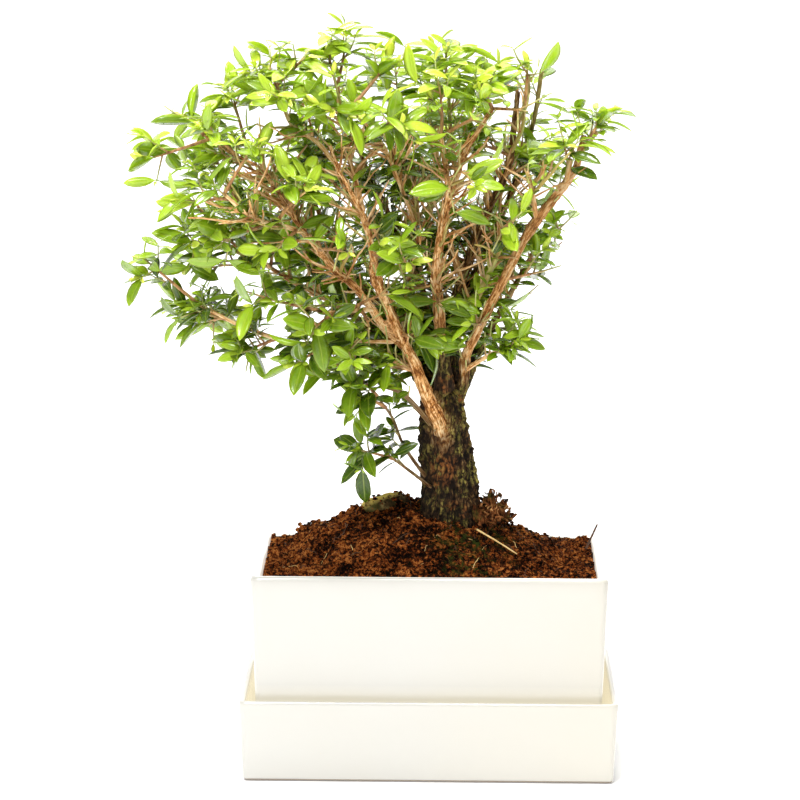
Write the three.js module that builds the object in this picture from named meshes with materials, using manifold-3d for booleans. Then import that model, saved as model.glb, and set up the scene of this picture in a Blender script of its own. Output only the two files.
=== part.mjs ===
// A serissa bonsai in a rectangular glazed pot on its saucer, real size.
// Millimetres, +Z up. The origin is the middle of the saucer's underside, -Y faces the viewer.

import * as THREE from 'three';
import { mergeVertices } from 'three/addons/utils/BufferGeometryUtils.js';
import Module from 'manifold-3d';

const wasm = await Module();
wasm.setup();

// Driving dimensions of the ceramic ware
const saucer = {
  width: 186, depth: 129, height: 40, taper: 2.2, wall: 3.2, floor: 3.7, corner: 4, edge: 1.2,
};
const pot = {
  width: 175, depth: 118, foot: 4, top: 101, taper: 3.8, wall: 5.3, floor: 6, corner: 4, edge: 1.6,
};
const drainHole = { diameter: 14, offset: 38 };
const footRecess = { margin: 9, height: 1.6 };

// Driving dimensions of the soil: a heap whose peak lies behind and left of the trunk
const heap = {
  edge: 100.2, peak: 27, x: -12, y: 8, left: 70, right: 85, front: 62, back: 52, roundness: 1.6,
};
const crumb = { size: 1.3, cell: 8 };
const clearance = 0.3; // between neighbours that touch

// Driving dimensions of the foliage
const leafLength = { young: 9, old: 20 };
const leafShape = { widthToLength: 0.31, thickness: 0.85, sunk: 0.05, arch: 0.2 };
const twig = { footRadius: 1.15, tipRadius: 0.65, shootRadius: 0.65, sides: 3, steps: 3 };
const crownRoot = new THREE.Vector3(8, 0, 185); // where the limbs part

// Each limb is a hand-chosen route of x, y, z and radius, from its root to its cut or growing end
const limbs = {
  bole: [[9, 0, 88, 16.5], [9, 0, 110, 16.2], [9, 0, 135, 14], [7, 0, 160, 12.5], [5, 0, 187, 10.2]],
  frontLimb: [[8, -5, 150, 5], [5, -9, 166, 5.2], [1, -11, 177, 4.9], [-3, -12, 186, 4.4], [-8, -14, 199, 3.9],
    [-13, -16, 209, 3.6], [-18, -18, 220, 3.4], [-23, -19, 232, 3.3], [-27, -20, 242, 4.1], [-29, -22, 250, 3]],
  frontUpper: [[-27, -20, 242, 3], [-30, -24, 260, 2.5], [-34, -28, 275, 2.3], [-39, -30, 285, 2],
    [-46, -33, 298, 1.8], [-50, -36, 310, 1.5]],
  frontBack: [[-34, -28, 277, 1.8], [-37, -22, 289, 1.6], [-41, -15, 302, 1.5], [-45, -10, 320, 1.3],
    [-47, -6, 337, 1.1]],
  frontLeft: [[-48, -34, 302, 1.6], [-57, -34, 312, 1.4], [-68, -32, 319, 1.3], [-73, -28, 329, 1.2],
    [-76, -24, 338, 1.1]],
  leftLimb: [[-14, -15, 209, 3.2], [-23, -18, 218, 3], [-30, -22, 229, 2.8], [-39, -27, 241, 2.6],
    [-47, -32, 248, 2.9], [-55, -36, 259, 2.2], [-64, -38, 270, 2.1], [-70, -38, 280, 1.8],
    [-77, -36, 290, 1.6], [-83, -34, 298, 1.4], [-100, -28, 306, 1.2], [-112, -20, 313, 1.1]],
  leftTwig: [[-63, -38, 268, 1.6], [-71, -44, 271, 1.5], [-81, -50, 274, 1.4], [-90, -54, 279, 1.3],
    [-100, -56, 288, 1.1]],
  leftInner: [[-50, -33, 252, 1.8], [-61, -22, 266, 1.6], [-70, -14, 278, 1.5], [-81, -4, 292, 1.3],
    [-93, 4, 308, 1.1]],
  lowLeft: [[-7, -13, 197, 2.2], [-28, -14, 201, 1.9], [-50, -18, 208, 1.7], [-70, -20, 211, 1.5],
    [-95, -16, 219, 1.3], [-115, -10, 228, 1.1]],
  lowTwig: [[-29, -22, 228, 1.5], [-40, -36, 229, 1.3], [-50, -49, 230, 1.1]],
  barePeg: [[-19, -16, 211, 1.3], [-35, -28, 213, 1.1], [-47, -37, 215, 1]],
  middleTwig: [[-18, -17, 219, 1.8], [-16, -8, 231, 1.6], [-13, -4, 237, 1.9], [-8, 2, 252, 1.5],
    [-7, 5, 264, 1.4], [-8, 8, 279, 1.3], [-10, 12, 293, 1.2], [-13, 16, 309, 1.1]],
  innerLeft: [[-8, 5, 266, 1.3], [-16, -10, 288, 1.2], [-22, -20, 304, 1.2], [-27, -26, 313, 1.1],
    [-40, -32, 328, 1]],
  centreLimb: [[7, -3, 176, 4.6], [5, -7, 206, 4], [3, -10, 231, 3.6], [2, -11, 243, 3.6], [4, -14, 262, 3.2],
    [7, -16, 279, 3], [11, -16, 291, 2.4], [14, -15, 301, 2.6], [18, -14, 309, 2], [29, -10, 326, 1.7]],
  centreTwig: [[7, -16, 280, 1.7], [7, -21, 290, 1.5], [6, -26, 302, 1.4], [4, -30, 314, 1.2]],
  greenShoot: [[12, -15, 294, 1.4], [9, -9, 310, 1.3], [8, -4, 325, 1.2], [7, 0, 338, 1]],
  rightDark: [[9, 4, 178, 5], [10, 7, 201, 4.2], [11, 10, 224, 3.8], [14, 12, 236, 3.6], [18, 14, 247, 3.2],
    [24, 17, 265, 2.9], [31, 20, 280, 2.7], [38, 22, 295, 2.4], [40, 24, 313, 2.2], [42, 25, 332, 1.9]],
  rightBack: [[13, 11, 220, 2.8], [19, 22, 235, 2.6], [27, 34, 251, 2.4], [36, 44, 270, 2.2],
    [44, 52, 292, 1.8], [49, 56, 312, 1.6]],
  deadSpur: [[40, 23, 312, 1.8], [46, 29, 326, 1.7], [47, 31, 340, 1.6]],
  backSpur: [[45, 52, 293, 1.6], [51, 42, 319, 1.5], [54, 36, 342, 1.4]],
  paleStem: [[12, 4, 208, 2], [20, -3, 226, 1.9], [30, -10, 249, 1.7], [35, -16, 262, 1.5], [43, -22, 281, 1.2]],
  uprightShoot: [[39, 22, 302, 1.4], [44, 13, 314, 1.3], [45, 9, 326, 1.2], [46, 5, 340, 1]],
  rightLimb: [[12, 0, 176, 4.4], [16, -3, 190, 3.7], [17, -6, 203, 3.4], [24, -10, 219, 3.2],
    [35, -14, 242, 3.1], [44, -16, 260, 3], [51, -17, 272, 3.6], [59, -17, 282, 2.9], [64, -17, 289, 3.1],
    [70, -16, 298, 2.5], [72, -15, 306, 2.4], [74, -14, 314, 2.1]],
  rightPeg: [[65, -17, 289, 1.7], [66, -21, 296, 1.5], [67, -24, 303, 1.3]],
  rightTwig: [[51, -17, 272, 1.7], [49, -25, 285, 1.5], [46, -31, 297, 1.2]],
  rightEnd: [[71, -15, 304, 1.4], [77, -10, 310, 1.2], [80, -7, 315, 1.1]],
  footTwig: [[0, -4, 138, 2], [-13, -13, 158, 1.6], [-19, -17, 173, 1.3], [-26, -22, 184, 1.1]],
  frontTwig: [[2, -6, 166, 1.8], [-13, -20, 185, 1.5], [-24, -28, 191, 1.2]],
  suckerTwig: [[1, -6, 136, 1.7], [-14, -20, 150, 1.4], [-22, -27, 157, 1.2]],
  sideTwig: [[16, -3, 195, 1.7], [24, -15, 202, 1.4], [31, -21, 207, 1.2]],
  backLeft: [[4, 4, 176, 4.4], [-6, 14, 196, 3.9], [-22, 28, 216, 3.2], [-38, 42, 236, 2.6],
    [-52, 54, 256, 2], [-62, 60, 274, 1.6]],
  backLeftTwig: [[-37, 41, 235, 2], [-58, 46, 246, 1.7], [-82, 46, 258, 1.4], [-98, 42, 272, 1.1]],
  backCentre: [[8, 5, 178, 4], [8, 20, 206, 3.4], [1, 36, 232, 2.8], [-6, 48, 258, 2.2], [-12, 56, 284, 1.8],
    [-14, 60, 304, 1.4]],
  backCentreTwig: [[3, 33, 228, 1.8], [10, 52, 248, 1.5], [18, 66, 264, 1.2]],
  backRight: [[12, 5, 180, 3.8], [22, 16, 200, 3.2], [34, 28, 220, 2.4], [46, 40, 240, 1.8], [54, 46, 256, 1.4]],
  heart: [[7, 2, 182, 3.8], [1, 10, 210, 3], [-8, 20, 240, 2.4], [-22, 26, 270, 1.9], [-36, 28, 298, 1.5],
    [-48, 28, 320, 1.2]],
  heartUpper: [[-7, 19, 237, 1.8], [-2, 32, 266, 1.6], [2, 36, 290, 1.4], [1, 34, 314, 1.1]],
  farLeft: [[0, 6, 184, 3.4], [-18, 14, 203, 2.8], [-44, 20, 222, 2.3], [-74, 24, 238, 1.9],
    [-102, 24, 256, 1.4], [-118, 20, 274, 1.1]],
};
const limbSides = (radius) => (radius > 8 ? 18 : radius > 4 ? 6 : radius > 2.2 ? 5 : 4);
const bark = { ridges: 7, ridgeDepth: 0.075, fineRidges: 4, fineDepth: 0.045, flake: 0.07, pitch: 21 };

// Where the leafy sprays of the front and the outline end, read off the silhouette
const frontTips = [
  [-43, -5, 360], [-80, -25, 346], [-100, 10, 332], [6, -10, 353], [-19, 25, 343], [24, 30, 340],
  [46, 0, 346], [84, -6, 322], [64, -28, 310], [57, 25, 295], [-140, -10, 300], [-141, -22, 252],
  [-121, -10, 226], [-117, -48, 282], [-120, 0, 320], [-112, 18, 214], [-94, -15, 204], [-90, -55, 241],
  [-66, -44, 204], [-40, -52, 212], [-34, -36, 186], [-34, -36, 160], [-2, -46, 214],
  [40, -28, 211], [56, -8, 246], [33, -42, 270], [8, -56, 290], [-16, -54, 321],
  [-87, -58, 310], [-58, -68, 292], [-40, -72, 262], [-10, -60, 256], [23, -42, 326],
];
// The back of the crown carries its sprays on half an ellipsoid, turned by the golden angle
const backDome = { count: 14, x: -30, y: 4, z: 277, halfWidth: 98, halfDepth: 88, halfHeight: 66, reach: 0.84 };
const goldenAngle = THREE.MathUtils.degToRad(137.508);
const attach = { shortest: 20, drop: 12 };

const colours = {
  glaze: 0xf4f1e9, soil: 0x4a2a1b, bark: 0x6b4a30, stone: 0x8d8560, straw: 0xc9a878, stick: 0x3b2418,
  leaf: 0x4f8f2a, youngLeaf: 0x86b93c,
};

// A repeatable stream of numbers from 0 to 1
function seeded(seed) {
  let state = seed;
  return () => {
    state = (state * 1664525 + 1013904223) % 4294967296;
    return state / 4294967296;
  };
}

// A fixed scatter from 0 to 1 for a pair of whole numbers
function scatter(i, j) {
  const value = Math.sin(i * 127.1 + j * 311.7) * 43758.5453;
  return value - Math.floor(value);
}

function solidOf(geometry) {
  geometry.deleteAttribute('normal');
  geometry.deleteAttribute('uv');
  const merged = mergeVertices(geometry, 1e-4);
  return new wasm.Manifold(new wasm.Mesh({
    numProp: 3,
    vertProperties: new Float32Array(merged.attributes.position.array),
    triVerts: new Uint32Array(merged.index.array),
  }));
}

function geometryOf(solid) {
  const mesh = solid.getMesh();
  const geometry = new THREE.BufferGeometry();
  geometry.setAttribute('position', new THREE.BufferAttribute(new Float32Array(mesh.vertProperties), 3));
  geometry.setIndex(new THREE.BufferAttribute(new Uint32Array(mesh.triVerts), 1));
  return geometry;
}

const join = (solids) => solids.reduce((whole, next) => whole.add(next));

// The largest of the bodies that a cut leaves
function largest(solid) {
  return solid.decompose().reduce((best, next) => (next.volume() > best.volume() ? next : best));
}

function reshape(geometry, move) {
  const place = geometry.attributes.position;
  const point = new THREE.Vector3();
  for (let i = 0; i < place.count; i += 1) {
    point.fromBufferAttribute(place, i);
    move(point);
    place.setXYZ(i, point.x, point.y, point.z);
  }
  return geometry;
}

function roundedRectangle(width, depth, corner) {
  const shape = new THREE.Shape();
  const [w, d] = [width / 2, depth / 2];
  shape.moveTo(w, -d + corner);
  shape.lineTo(w, d - corner);
  shape.absarc(w - corner, d - corner, corner, 0, Math.PI / 2);
  shape.lineTo(-w + corner, d);
  shape.absarc(-w + corner, d - corner, corner, Math.PI / 2, Math.PI);
  shape.lineTo(-w, -d + corner);
  shape.absarc(-w + corner, -d + corner, corner, Math.PI, Math.PI * 1.5);
  shape.lineTo(w - corner, -d);
  shape.absarc(w - corner, -d + corner, corner, Math.PI * 1.5, Math.PI * 2);
  return shape;
}

// A block with rounded upright corners and rounded edges that widens by `taper` a side from low to high
function taperedBlock({ width, depth, low, high, taper, corner, edge, rounds = 1 }) {
  const geometry = new THREE.ExtrudeGeometry(roundedRectangle(width, depth, corner), {
    depth: high - low - 2 * edge,
    bevelThickness: edge,
    bevelSize: edge,
    bevelOffset: -edge,
    bevelSegments: rounds,
    curveSegments: 2,
    steps: 1,
  });
  return solidOf(reshape(geometry, (p) => {
    const z = p.z + low + edge;
    const inset = taper * (1 - (z - low) / (high - low));
    p.set(p.x * (1 - (2 * inset) / width), p.y * (1 - (2 * inset) / depth), z);
  }));
}

function upright(diameter, low, high, x, y) {
  const geometry = new THREE.CylinderGeometry(diameter / 2, diameter / 2, high - low, 10);
  geometry.rotateX(Math.PI / 2);
  geometry.translate(x, y, (low + high) / 2);
  return solidOf(geometry);
}

function makeSaucer() {
  const { width, depth, height, taper, wall, floor, corner, edge } = saucer;
  const outside = taperedBlock({ width, depth, low: 0, high: height, taper, corner, edge, rounds: 2 });
  const inside = taperedBlock({
    width: width - 2 * wall, depth: depth - 2 * wall, low: floor, high: height + 12, taper,
    corner: corner - 1, edge: 2,
  });
  return outside.subtract(inside);
}

function potCavity(shrink) {
  const { width, depth, foot, top, taper, wall, floor, corner } = pot;
  return taperedBlock({
    width: width - 2 * (wall + shrink), depth: depth - 2 * (wall + shrink), low: foot + floor + shrink,
    high: top + 30, taper: (taper * (top + 30 - foot)) / (top - foot), corner: corner - 1, edge: 2.5,
  });
}

function makePot() {
  const { width, depth, foot, top, taper, corner, edge, floor } = pot;
  const { margin, height } = footRecess;
  const recess = taperedBlock({
    width: width - 2 * (taper + margin), depth: depth - 2 * (taper + margin), low: foot - 5,
    high: foot + height, taper: 0, corner, edge: 0.4,
  });
  const holes = [-drainHole.offset, drainHole.offset]
    .map((x) => upright(drainHole.diameter, foot - 5, foot + floor + 5, x, 0));
  return taperedBlock({ width, depth, low: foot, high: top, taper, corner, edge, rounds: 2 })
    .subtract(potCavity(0)).subtract(recess).subtract(join(holes));
}

// A route becomes a smooth curve with a radius along it
function limbPath(route) {
  const curve = new THREE.CatmullRomCurve3(
    route.map(([x, y, z]) => new THREE.Vector3(x, y, z)), false, 'catmullrom', 0.5,
  );
  const spans = route.length - 1;
  const radiusAt = (t) => {
    const place = Math.min(t * spans, spans - 1e-9);
    const i = Math.floor(place);
    return THREE.MathUtils.lerp(route[i][3], route[i + 1][3], place - i);
  };
  return { curve, radiusAt, spans, stoutest: Math.max(...route.map((point) => point[3])) };
}
const limbPaths = Object.values(limbs).map(limbPath);

// A rod bent along a curve: relief(t, angle, z) scales its radius
function rod(curve, radiusAt, sides, steps, relief = () => 1) {
  const reference = new THREE.Vector3(0.3, 1, 0.1).normalize();
  const geometry = new THREE.CylinderGeometry(1, 1, 1, sides, steps);
  const [normal, binormal, tangent] = [0, 0, 0].map(() => new THREE.Vector3());
  return solidOf(reshape(geometry, (p) => {
    const t = THREE.MathUtils.clamp(p.y + 0.5, 0, 1);
    const angle = Math.atan2(p.z, p.x);
    const centre = curve.getPoint(t);
    curve.getTangent(t, tangent);
    normal.crossVectors(tangent, reference).normalize();
    binormal.crossVectors(normal, tangent);
    const radius = Math.hypot(p.x, p.z) * radiusAt(t) * relief(t, angle, centre.z);
    p.copy(centre).addScaledVector(normal, radius * Math.cos(angle));
    p.addScaledVector(binormal, radius * Math.sin(angle));
  }));
}

// The old bole is deeply ridged, the limbs only flaky
function barkRelief(path, index) {
  if (path.stoutest > 8) {
    return (t, angle, z) => 1
      + bark.ridgeDepth * Math.cos(bark.ridges * angle + 1.2 * Math.sin(z / bark.pitch))
      + bark.fineDepth * Math.cos(bark.fineRidges * angle - z / bark.pitch);
  }
  return (t, angle) => 1
    + bark.flake * (2 * scatter(Math.round(t * 40) + 17 * index, Math.round(angle * 4)) - 1);
}

const stationsOf = (path) => (path.stoutest > 8 ? path.spans * 2 : path.spans);

function limbSolid(path, index) {
  return rod(path.curve, path.radiusAt, limbSides(path.stoutest), stationsOf(path), barkRelief(path, index));
}

// The same limb without relief, wider all round and longer at its ends, for cutting its neighbours
function limbSleeve(path, grow) {
  const reach = 1 + bark.flake;
  const ridge = path.stoutest > 8 ? 1 + bark.ridgeDepth + bark.fineDepth : reach;
  return rod(path.curve, (t) => path.radiusAt(t) * ridge + grow, limbSides(path.stoutest), stationsOf(path));
}

// Old roots and flakes of bark lie in a mossy heap against the right of the trunk
const rootHeap = { x: 31, y: -1, z: 118, spreadX: 8, spreadY: 10, spreadZ: 11, flakes: 7, seed: 77 };
function rootHeapSolid(grow) {
  const random = seeded(rootHeap.seed);
  const centred = (spread) => (random() * 2 - 1) * spread;
  const core = new THREE.IcosahedronGeometry(1, 0);
  core.scale(11 + grow, 11 + grow, 15 + grow);
  core.translate(rootHeap.x - 5, rootHeap.y, rootHeap.z - 6);
  const pieces = [solidOf(core)];
  for (let i = 0; i < rootHeap.flakes; i += 1) {
    const flake = new THREE.BoxGeometry(10 + 2 * grow, 4.5 + 2 * grow, 1.8 + 2 * grow);
    flake.rotateX(centred(0.9));
    flake.rotateY(0.7 + centred(0.6));
    flake.rotateZ(centred(1.4));
    flake.translate(
      rootHeap.x - 1 + centred(rootHeap.spreadX * 0.7),
      rootHeap.y + centred(rootHeap.spreadY * 0.55),
      rootHeap.z - 1 + centred(rootHeap.spreadZ * 0.75),
    );
    pieces.push(solidOf(flake));
  }
  return join(pieces);
}

const stone = { x: -23, y: 6, z: 120, halfWidth: 15, halfDepth: 10, halfHeight: 11.5, tilt: 0.16 };
function stoneSolid(grow) {
  const geometry = new THREE.SphereGeometry(1, 9, 6);
  reshape(geometry, (p) => {
    const dent = 0.93 + 0.07 * Math.cos(3 * p.x + 2 * p.y + 4 * p.z);
    p.set(
      p.x * (stone.halfWidth * dent + grow),
      p.y * (stone.halfDepth * dent + grow),
      p.z * (stone.halfHeight * dent + grow),
    );
  });
  geometry.rotateY(-stone.tilt);
  geometry.translate(stone.x, stone.y, stone.z);
  return solidOf(geometry);
}

// Loose stalks on the soil
const straws = {
  straw: { from: [23, -17.5, 117.6], bow: [33, -22, 112.8], to: [43, -27, 107.2], radius: 0.75 },
  stick: { from: [77, 19, 97], bow: [80.5, 21.5, 104.5], to: [84.5, 23, 113], radius: 0.8 },
};
function strawSolid({ from, bow, to, radius }, grow) {
  const curve = new THREE.QuadraticBezierCurve3(...[from, bow, to].map((p) => new THREE.Vector3(...p)));
  return rod(curve, () => radius + grow, 5, 4);
}

function heapHeight(x, y) {
  const across = (x - heap.x) / (x < heap.x ? heap.left : heap.right);
  const along = (y - heap.y) / (y < heap.y ? heap.front : heap.back);
  const away = Math.min(1, Math.hypot(across, along));
  return heap.edge + heap.peak * (1 - away ** heap.roundness);
}

function makeSoil(boleHole, heapOfRoots) {
  const [columns, rows] = [Math.round(pot.width / crumb.cell), Math.round(pot.depth / crumb.cell)];
  const block = new THREE.BoxGeometry(pot.width + 4, pot.depth + 4, 2, columns, rows, 1);
  reshape(block, (p) => {
    const lump = crumb.size * (2 * scatter(Math.round(p.x * 3), Math.round(p.y * 3)) - 1);
    p.z = p.z > 0 ? heapHeight(p.x, p.y) + lump : pot.foot + 2;
  });
  const soil = solidOf(block).intersect(potCavity(clearance)).subtract(boleHole).subtract(heapOfRoots)
    .subtract(stoneSolid(clearance))
    .subtract(join(Object.values(straws).map((straw) => strawSolid(straw, clearance))));
  return largest(soil);
}

// Two directions square to an axis
function squareTo(axis) {
  const reference = Math.abs(axis.z) > 0.9 ? new THREE.Vector3(1, 0, 0) : new THREE.Vector3(0, 0, 1);
  const side = new THREE.Vector3().crossVectors(axis, reference).normalize();
  return [side, new THREE.Vector3().crossVectors(axis, side)];
}

// Opposite leaves stand out on both sides of a stem
function leafPair(at, axis, turn, lean, length) {
  const [side, across] = squareTo(axis);
  return [turn, turn + Math.PI].map((angle) => {
    const away = side.clone().multiplyScalar(Math.cos(angle)).addScaledVector(across, Math.sin(angle));
    const out = axis.clone().multiplyScalar(Math.cos(lean)).addScaledVector(away, Math.sin(lean));
    return { at: at.clone(), axis: axis.clone(), out, length };
  });
}

// A spray: a twig from its limb to its tip, one side shoot, and pairs of leaves, each pair turned
// a quarter against the last
function growSpray(index, foot, tip) {
  const random = seeded(1000 + 77 * index);
  for (let i = 0; i < 3; i += 1) random();
  const run = tip.clone().sub(foot);
  const span = run.length();
  const bow = foot.clone().addScaledVector(run, 0.5);
  bow.x += (random() - 0.5) * 0.16 * span;
  bow.y += (random() - 0.5) * 0.16 * span;
  bow.z += (random() * 0.14 - 0.03) * span;
  const stem = new THREE.QuadraticBezierCurve3(foot, bow, tip);
  const turn = random() * Math.PI;
  const leaves = [];
  const tipAxis = stem.getTangent(1);
  const { young, old } = leafLength;
  leaves.push(...leafPair(stem.getPoint(0.985), tipAxis, turn, 0.75, young + 3 * random()));
  leaves.push(...leafPair(stem.getPoint(0.86), stem.getTangent(0.86), turn + Math.PI / 2, 1.05,
    old - 4 + 5 * random()));
  leaves.push(...leafPair(stem.getPoint(0.66), stem.getTangent(0.66), turn, 1.15, old - 4 + 6 * random()));
  const shootFoot = stem.getPoint(0.74);
  const shootAxis = leafPair(shootFoot, stem.getTangent(0.74), turn + Math.PI / 4, 1.05, 1)[0].out;
  const shootTip = shootFoot.clone().addScaledVector(shootAxis, 9 + 5 * random());
  const shoot = new THREE.LineCurve3(shootFoot, shootTip);
  leaves.push(...leafPair(shoot.getPoint(0.95), shootAxis, Math.PI / 2, 0.95, old - 5 + 5 * random()));
  return { stem, shoot, leaves };
}

// A blade with a keel under its midrib, arched away from the stem
const ringOfBlade = Math.sin(Math.PI / 3); // how far the blade's two rings stand off its axis
function leafSolid({ at, axis, out, length }) {
  const { widthToLength, thickness, sunk, arch } = leafShape;
  const across = new THREE.Vector3().crossVectors(axis, out).normalize();
  const face = new THREE.Vector3().crossVectors(out, across);
  const whole = length + sunk;
  return solidOf(reshape(new THREE.SphereGeometry(1, 3, 3), (p) => {
    const t = (1 - p.y) / 2;
    const side = (-p.z * whole * widthToLength) / (2 * ringOfBlade * ringOfBlade);
    const lift = (p.x * thickness) / (1.5 * ringOfBlade) - arch * whole * t * t;
    p.copy(at).addScaledVector(out, t * whole - sunk).addScaledVector(across, side);
    p.addScaledVector(face, lift);
  }));
}

const taperTo = (from, to) => (t) => THREE.MathUtils.lerp(from, to, t);

// The nearest spot on a limb that the spray can grow outwards from
function limbSpot(tip) {
  let best = null;
  for (const path of limbPaths.slice(1)) {
    for (let i = 2; i <= path.spans * 4; i += 1) {
      const t = i / (path.spans * 4);
      const spot = path.curve.getPoint(t);
      const run = tip.clone().sub(spot);
      const reach = run.length();
      const outwards = run.dot(spot.clone().sub(crownRoot)) > 0;
      if (reach > attach.shortest && spot.z < tip.z + attach.drop && outwards && (!best || reach < best.reach)) {
        best = { spot, reach, radius: path.radiusAt(t) };
      }
    }
  }
  return best;
}

function sprayTips() {
  const { count, x, y, z, halfWidth, halfDepth, halfHeight, reach } = backDome;
  const back = Array.from({ length: count }, (_, i) => {
    const facing = 1 - (reach * (i + 0.5)) / count;
    const ring = Math.sqrt(1 - facing * facing);
    return [
      x + halfWidth * ring * Math.cos(i * goldenAngle),
      y + halfDepth * facing,
      z + halfHeight * ring * Math.sin(i * goldenAngle),
    ];
  });
  return [...frontTips, ...back].map((point) => new THREE.Vector3(...point));
}

// Closest distance between two straight stretches
function stretchGap(a, b) {
  const [u, v, w] = [a.to.clone().sub(a.from), b.to.clone().sub(b.from), a.from.clone().sub(b.from)];
  const [uu, uv, vv, uw, vw] = [u.dot(u), u.dot(v), v.dot(v), u.dot(w), v.dot(w)];
  const clamp = (value) => THREE.MathUtils.clamp(value, 0, 1);
  const square = uu * vv - uv * uv;
  let s = square > 1e-9 ? clamp((uv * vw - vv * uw) / square) : 0;
  const t = clamp((uv * s + vw) / vv);
  s = clamp((uv * t - uw) / uu);
  return w.addScaledVector(u, s).addScaledVector(v, -t).length() - a.radius - b.radius;
}

function stretchesOf(curve, radiusAt, steps, owner) {
  return Array.from({ length: steps }, (_, i) => ({
    from: curve.getPoint(i / steps), to: curve.getPoint((i + 1) / steps), radius: radiusAt((i + 0.5) / steps),
    owner,
  }));
}

// A leaf takes the room of three slim stretches side by side
function leafStretches({ at, axis, out, length }, owner) {
  const across = new THREE.Vector3().crossVectors(axis, out).normalize();
  const face = new THREE.Vector3().crossVectors(out, across);
  const half = length * leafShape.widthToLength * 0.5;
  const along = (t, side) => at.clone().addScaledVector(out, t * length).addScaledVector(across, side)
    .addScaledVector(face, -leafShape.arch * length * t * t);
  return [
    { from: along(0.12, 0), to: along(0.5, 0), radius: 1.1, owner },
    { from: along(0.5, 0), to: along(1, 0), radius: 1.1, owner },
    { from: along(0.25, half), to: along(0.75, half), radius: 0.9, owner },
    { from: along(0.25, -half), to: along(0.75, -half), radius: 0.9, owner },
  ];
}

const room = 0.35; // kept between the leaves and twigs of neighbouring sprays
const isClear = (stretches, others, owner) => stretches.every(
  (stretch) => others.every((other) => other.owner === owner || stretchGap(stretch, other) > room),
);

// What would cross a neighbour is turned round its stem until it is clear, or left off
function clearedLeaf(leaf, others, owner) {
  for (const turn of [0, 0.35, -0.35, 0.7, -0.7, 1.1, -1.1]) {
    const turned = { ...leaf, out: leaf.out.clone().applyAxisAngle(leaf.axis, turn) };
    if (isClear(leafStretches(turned, owner), others, owner)) return turned;
  }
  return null;
}

function makeSprays(cutter) {
  const taken = limbPaths.flatMap((path) => stretchesOf(path.curve, path.radiusAt, path.spans * 2, 'limb'));
  const tips = sprayTips();
  const grown = tips.map((tip, index) => {
    const { spot } = limbSpot(tip);
    return growSpray(index, spot, tip);
  });
  const stemRadius = taperTo(twig.footRadius, twig.tipRadius);
  grown.forEach(({ stem }, index) => taken.push(...stretchesOf(stem, stemRadius, 8, index)));
  return grown.map(({ stem, shoot, leaves }, index) => {
    const pieces = [rod(stem, stemRadius, twig.sides, twig.steps)];
    const shootStretches = stretchesOf(shoot, () => twig.shootRadius, 1, index);
    const hasShoot = isClear(shootStretches, taken, index);
    if (hasShoot) {
      pieces.push(rod(shoot, () => twig.shootRadius, 3, 1));
      taken.push(...shootStretches);
    }
    leaves.slice(0, hasShoot ? leaves.length : 6).forEach((leaf) => {
      const clear = clearedLeaf(leaf, taken, index);
      if (clear) {
        pieces.push(leafSolid(clear));
        taken.push(...leafStretches(clear, index));
      }
    });
    return largest(join(pieces).subtract(cutter));
  });
}

const object = new THREE.Group();
function place(name, solid, colour, roughness) {
  const mesh = new THREE.Mesh(geometryOf(solid), new THREE.MeshStandardMaterial({
    color: colour, roughness, metalness: 0, flatShading: true,
  }));
  mesh.name = name;
  object.add(mesh);
}

const boleHole = limbSleeve(limbPaths[0], clearance);
const tree = largest(join([...limbPaths.map(limbSolid), rootHeapSolid(0)]));
const limbCutter = join(limbPaths.map((path) => limbSleeve(path, clearance)));

place('saucer', makeSaucer(), colours.glaze, 0.2);
place('pot', makePot(), colours.glaze, 0.2);
place('soil', makeSoil(boleHole, rootHeapSolid(clearance)), colours.soil, 0.95);
place('trunk', tree, colours.bark, 0.9);
place('stone', stoneSolid(0), colours.stone, 0.9);
Object.entries(straws).forEach(([name, straw]) => place(name, strawSolid(straw, 0), colours[name], 0.8));
makeSprays(limbCutter).forEach((solid, index) => {
  const name = `spray_${String(index + 1).padStart(2, '0')}`;
  place(name, solid, index % 3 === 0 ? colours.youngLeaf : colours.leaf, 0.45);
});

export default object;
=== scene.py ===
import math

import bmesh
import bpy
import numpy as np
from mathutils import Matrix, Vector, noise


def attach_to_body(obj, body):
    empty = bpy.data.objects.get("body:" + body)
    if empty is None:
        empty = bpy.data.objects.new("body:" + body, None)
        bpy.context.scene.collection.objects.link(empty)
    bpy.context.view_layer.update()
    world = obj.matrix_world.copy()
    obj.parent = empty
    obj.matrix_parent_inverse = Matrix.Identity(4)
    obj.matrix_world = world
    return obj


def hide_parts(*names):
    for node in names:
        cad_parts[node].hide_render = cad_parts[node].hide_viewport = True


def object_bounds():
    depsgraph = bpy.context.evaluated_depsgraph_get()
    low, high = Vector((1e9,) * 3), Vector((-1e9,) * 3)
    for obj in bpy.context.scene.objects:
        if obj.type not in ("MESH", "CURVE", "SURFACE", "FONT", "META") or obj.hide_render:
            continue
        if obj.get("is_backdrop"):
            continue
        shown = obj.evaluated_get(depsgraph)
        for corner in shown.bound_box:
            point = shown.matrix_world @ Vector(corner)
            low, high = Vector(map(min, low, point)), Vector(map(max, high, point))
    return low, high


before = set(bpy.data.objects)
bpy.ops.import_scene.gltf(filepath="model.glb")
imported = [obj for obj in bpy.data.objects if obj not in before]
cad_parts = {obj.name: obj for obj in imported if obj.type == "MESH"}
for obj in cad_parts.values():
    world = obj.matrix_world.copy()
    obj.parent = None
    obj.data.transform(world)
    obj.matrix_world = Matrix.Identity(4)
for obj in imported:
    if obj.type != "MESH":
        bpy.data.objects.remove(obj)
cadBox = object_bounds()
mm = 0.001
goldenAngle = math.radians(137.508)
noise.seed_set(5)  # noise vectors start from the clock unless a seed is set
wholeTurn = 6.28  # near enough for a random heading
startOfGrain = 7  # mm of bark pattern for each mm that a limb's foot lies to the right

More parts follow.
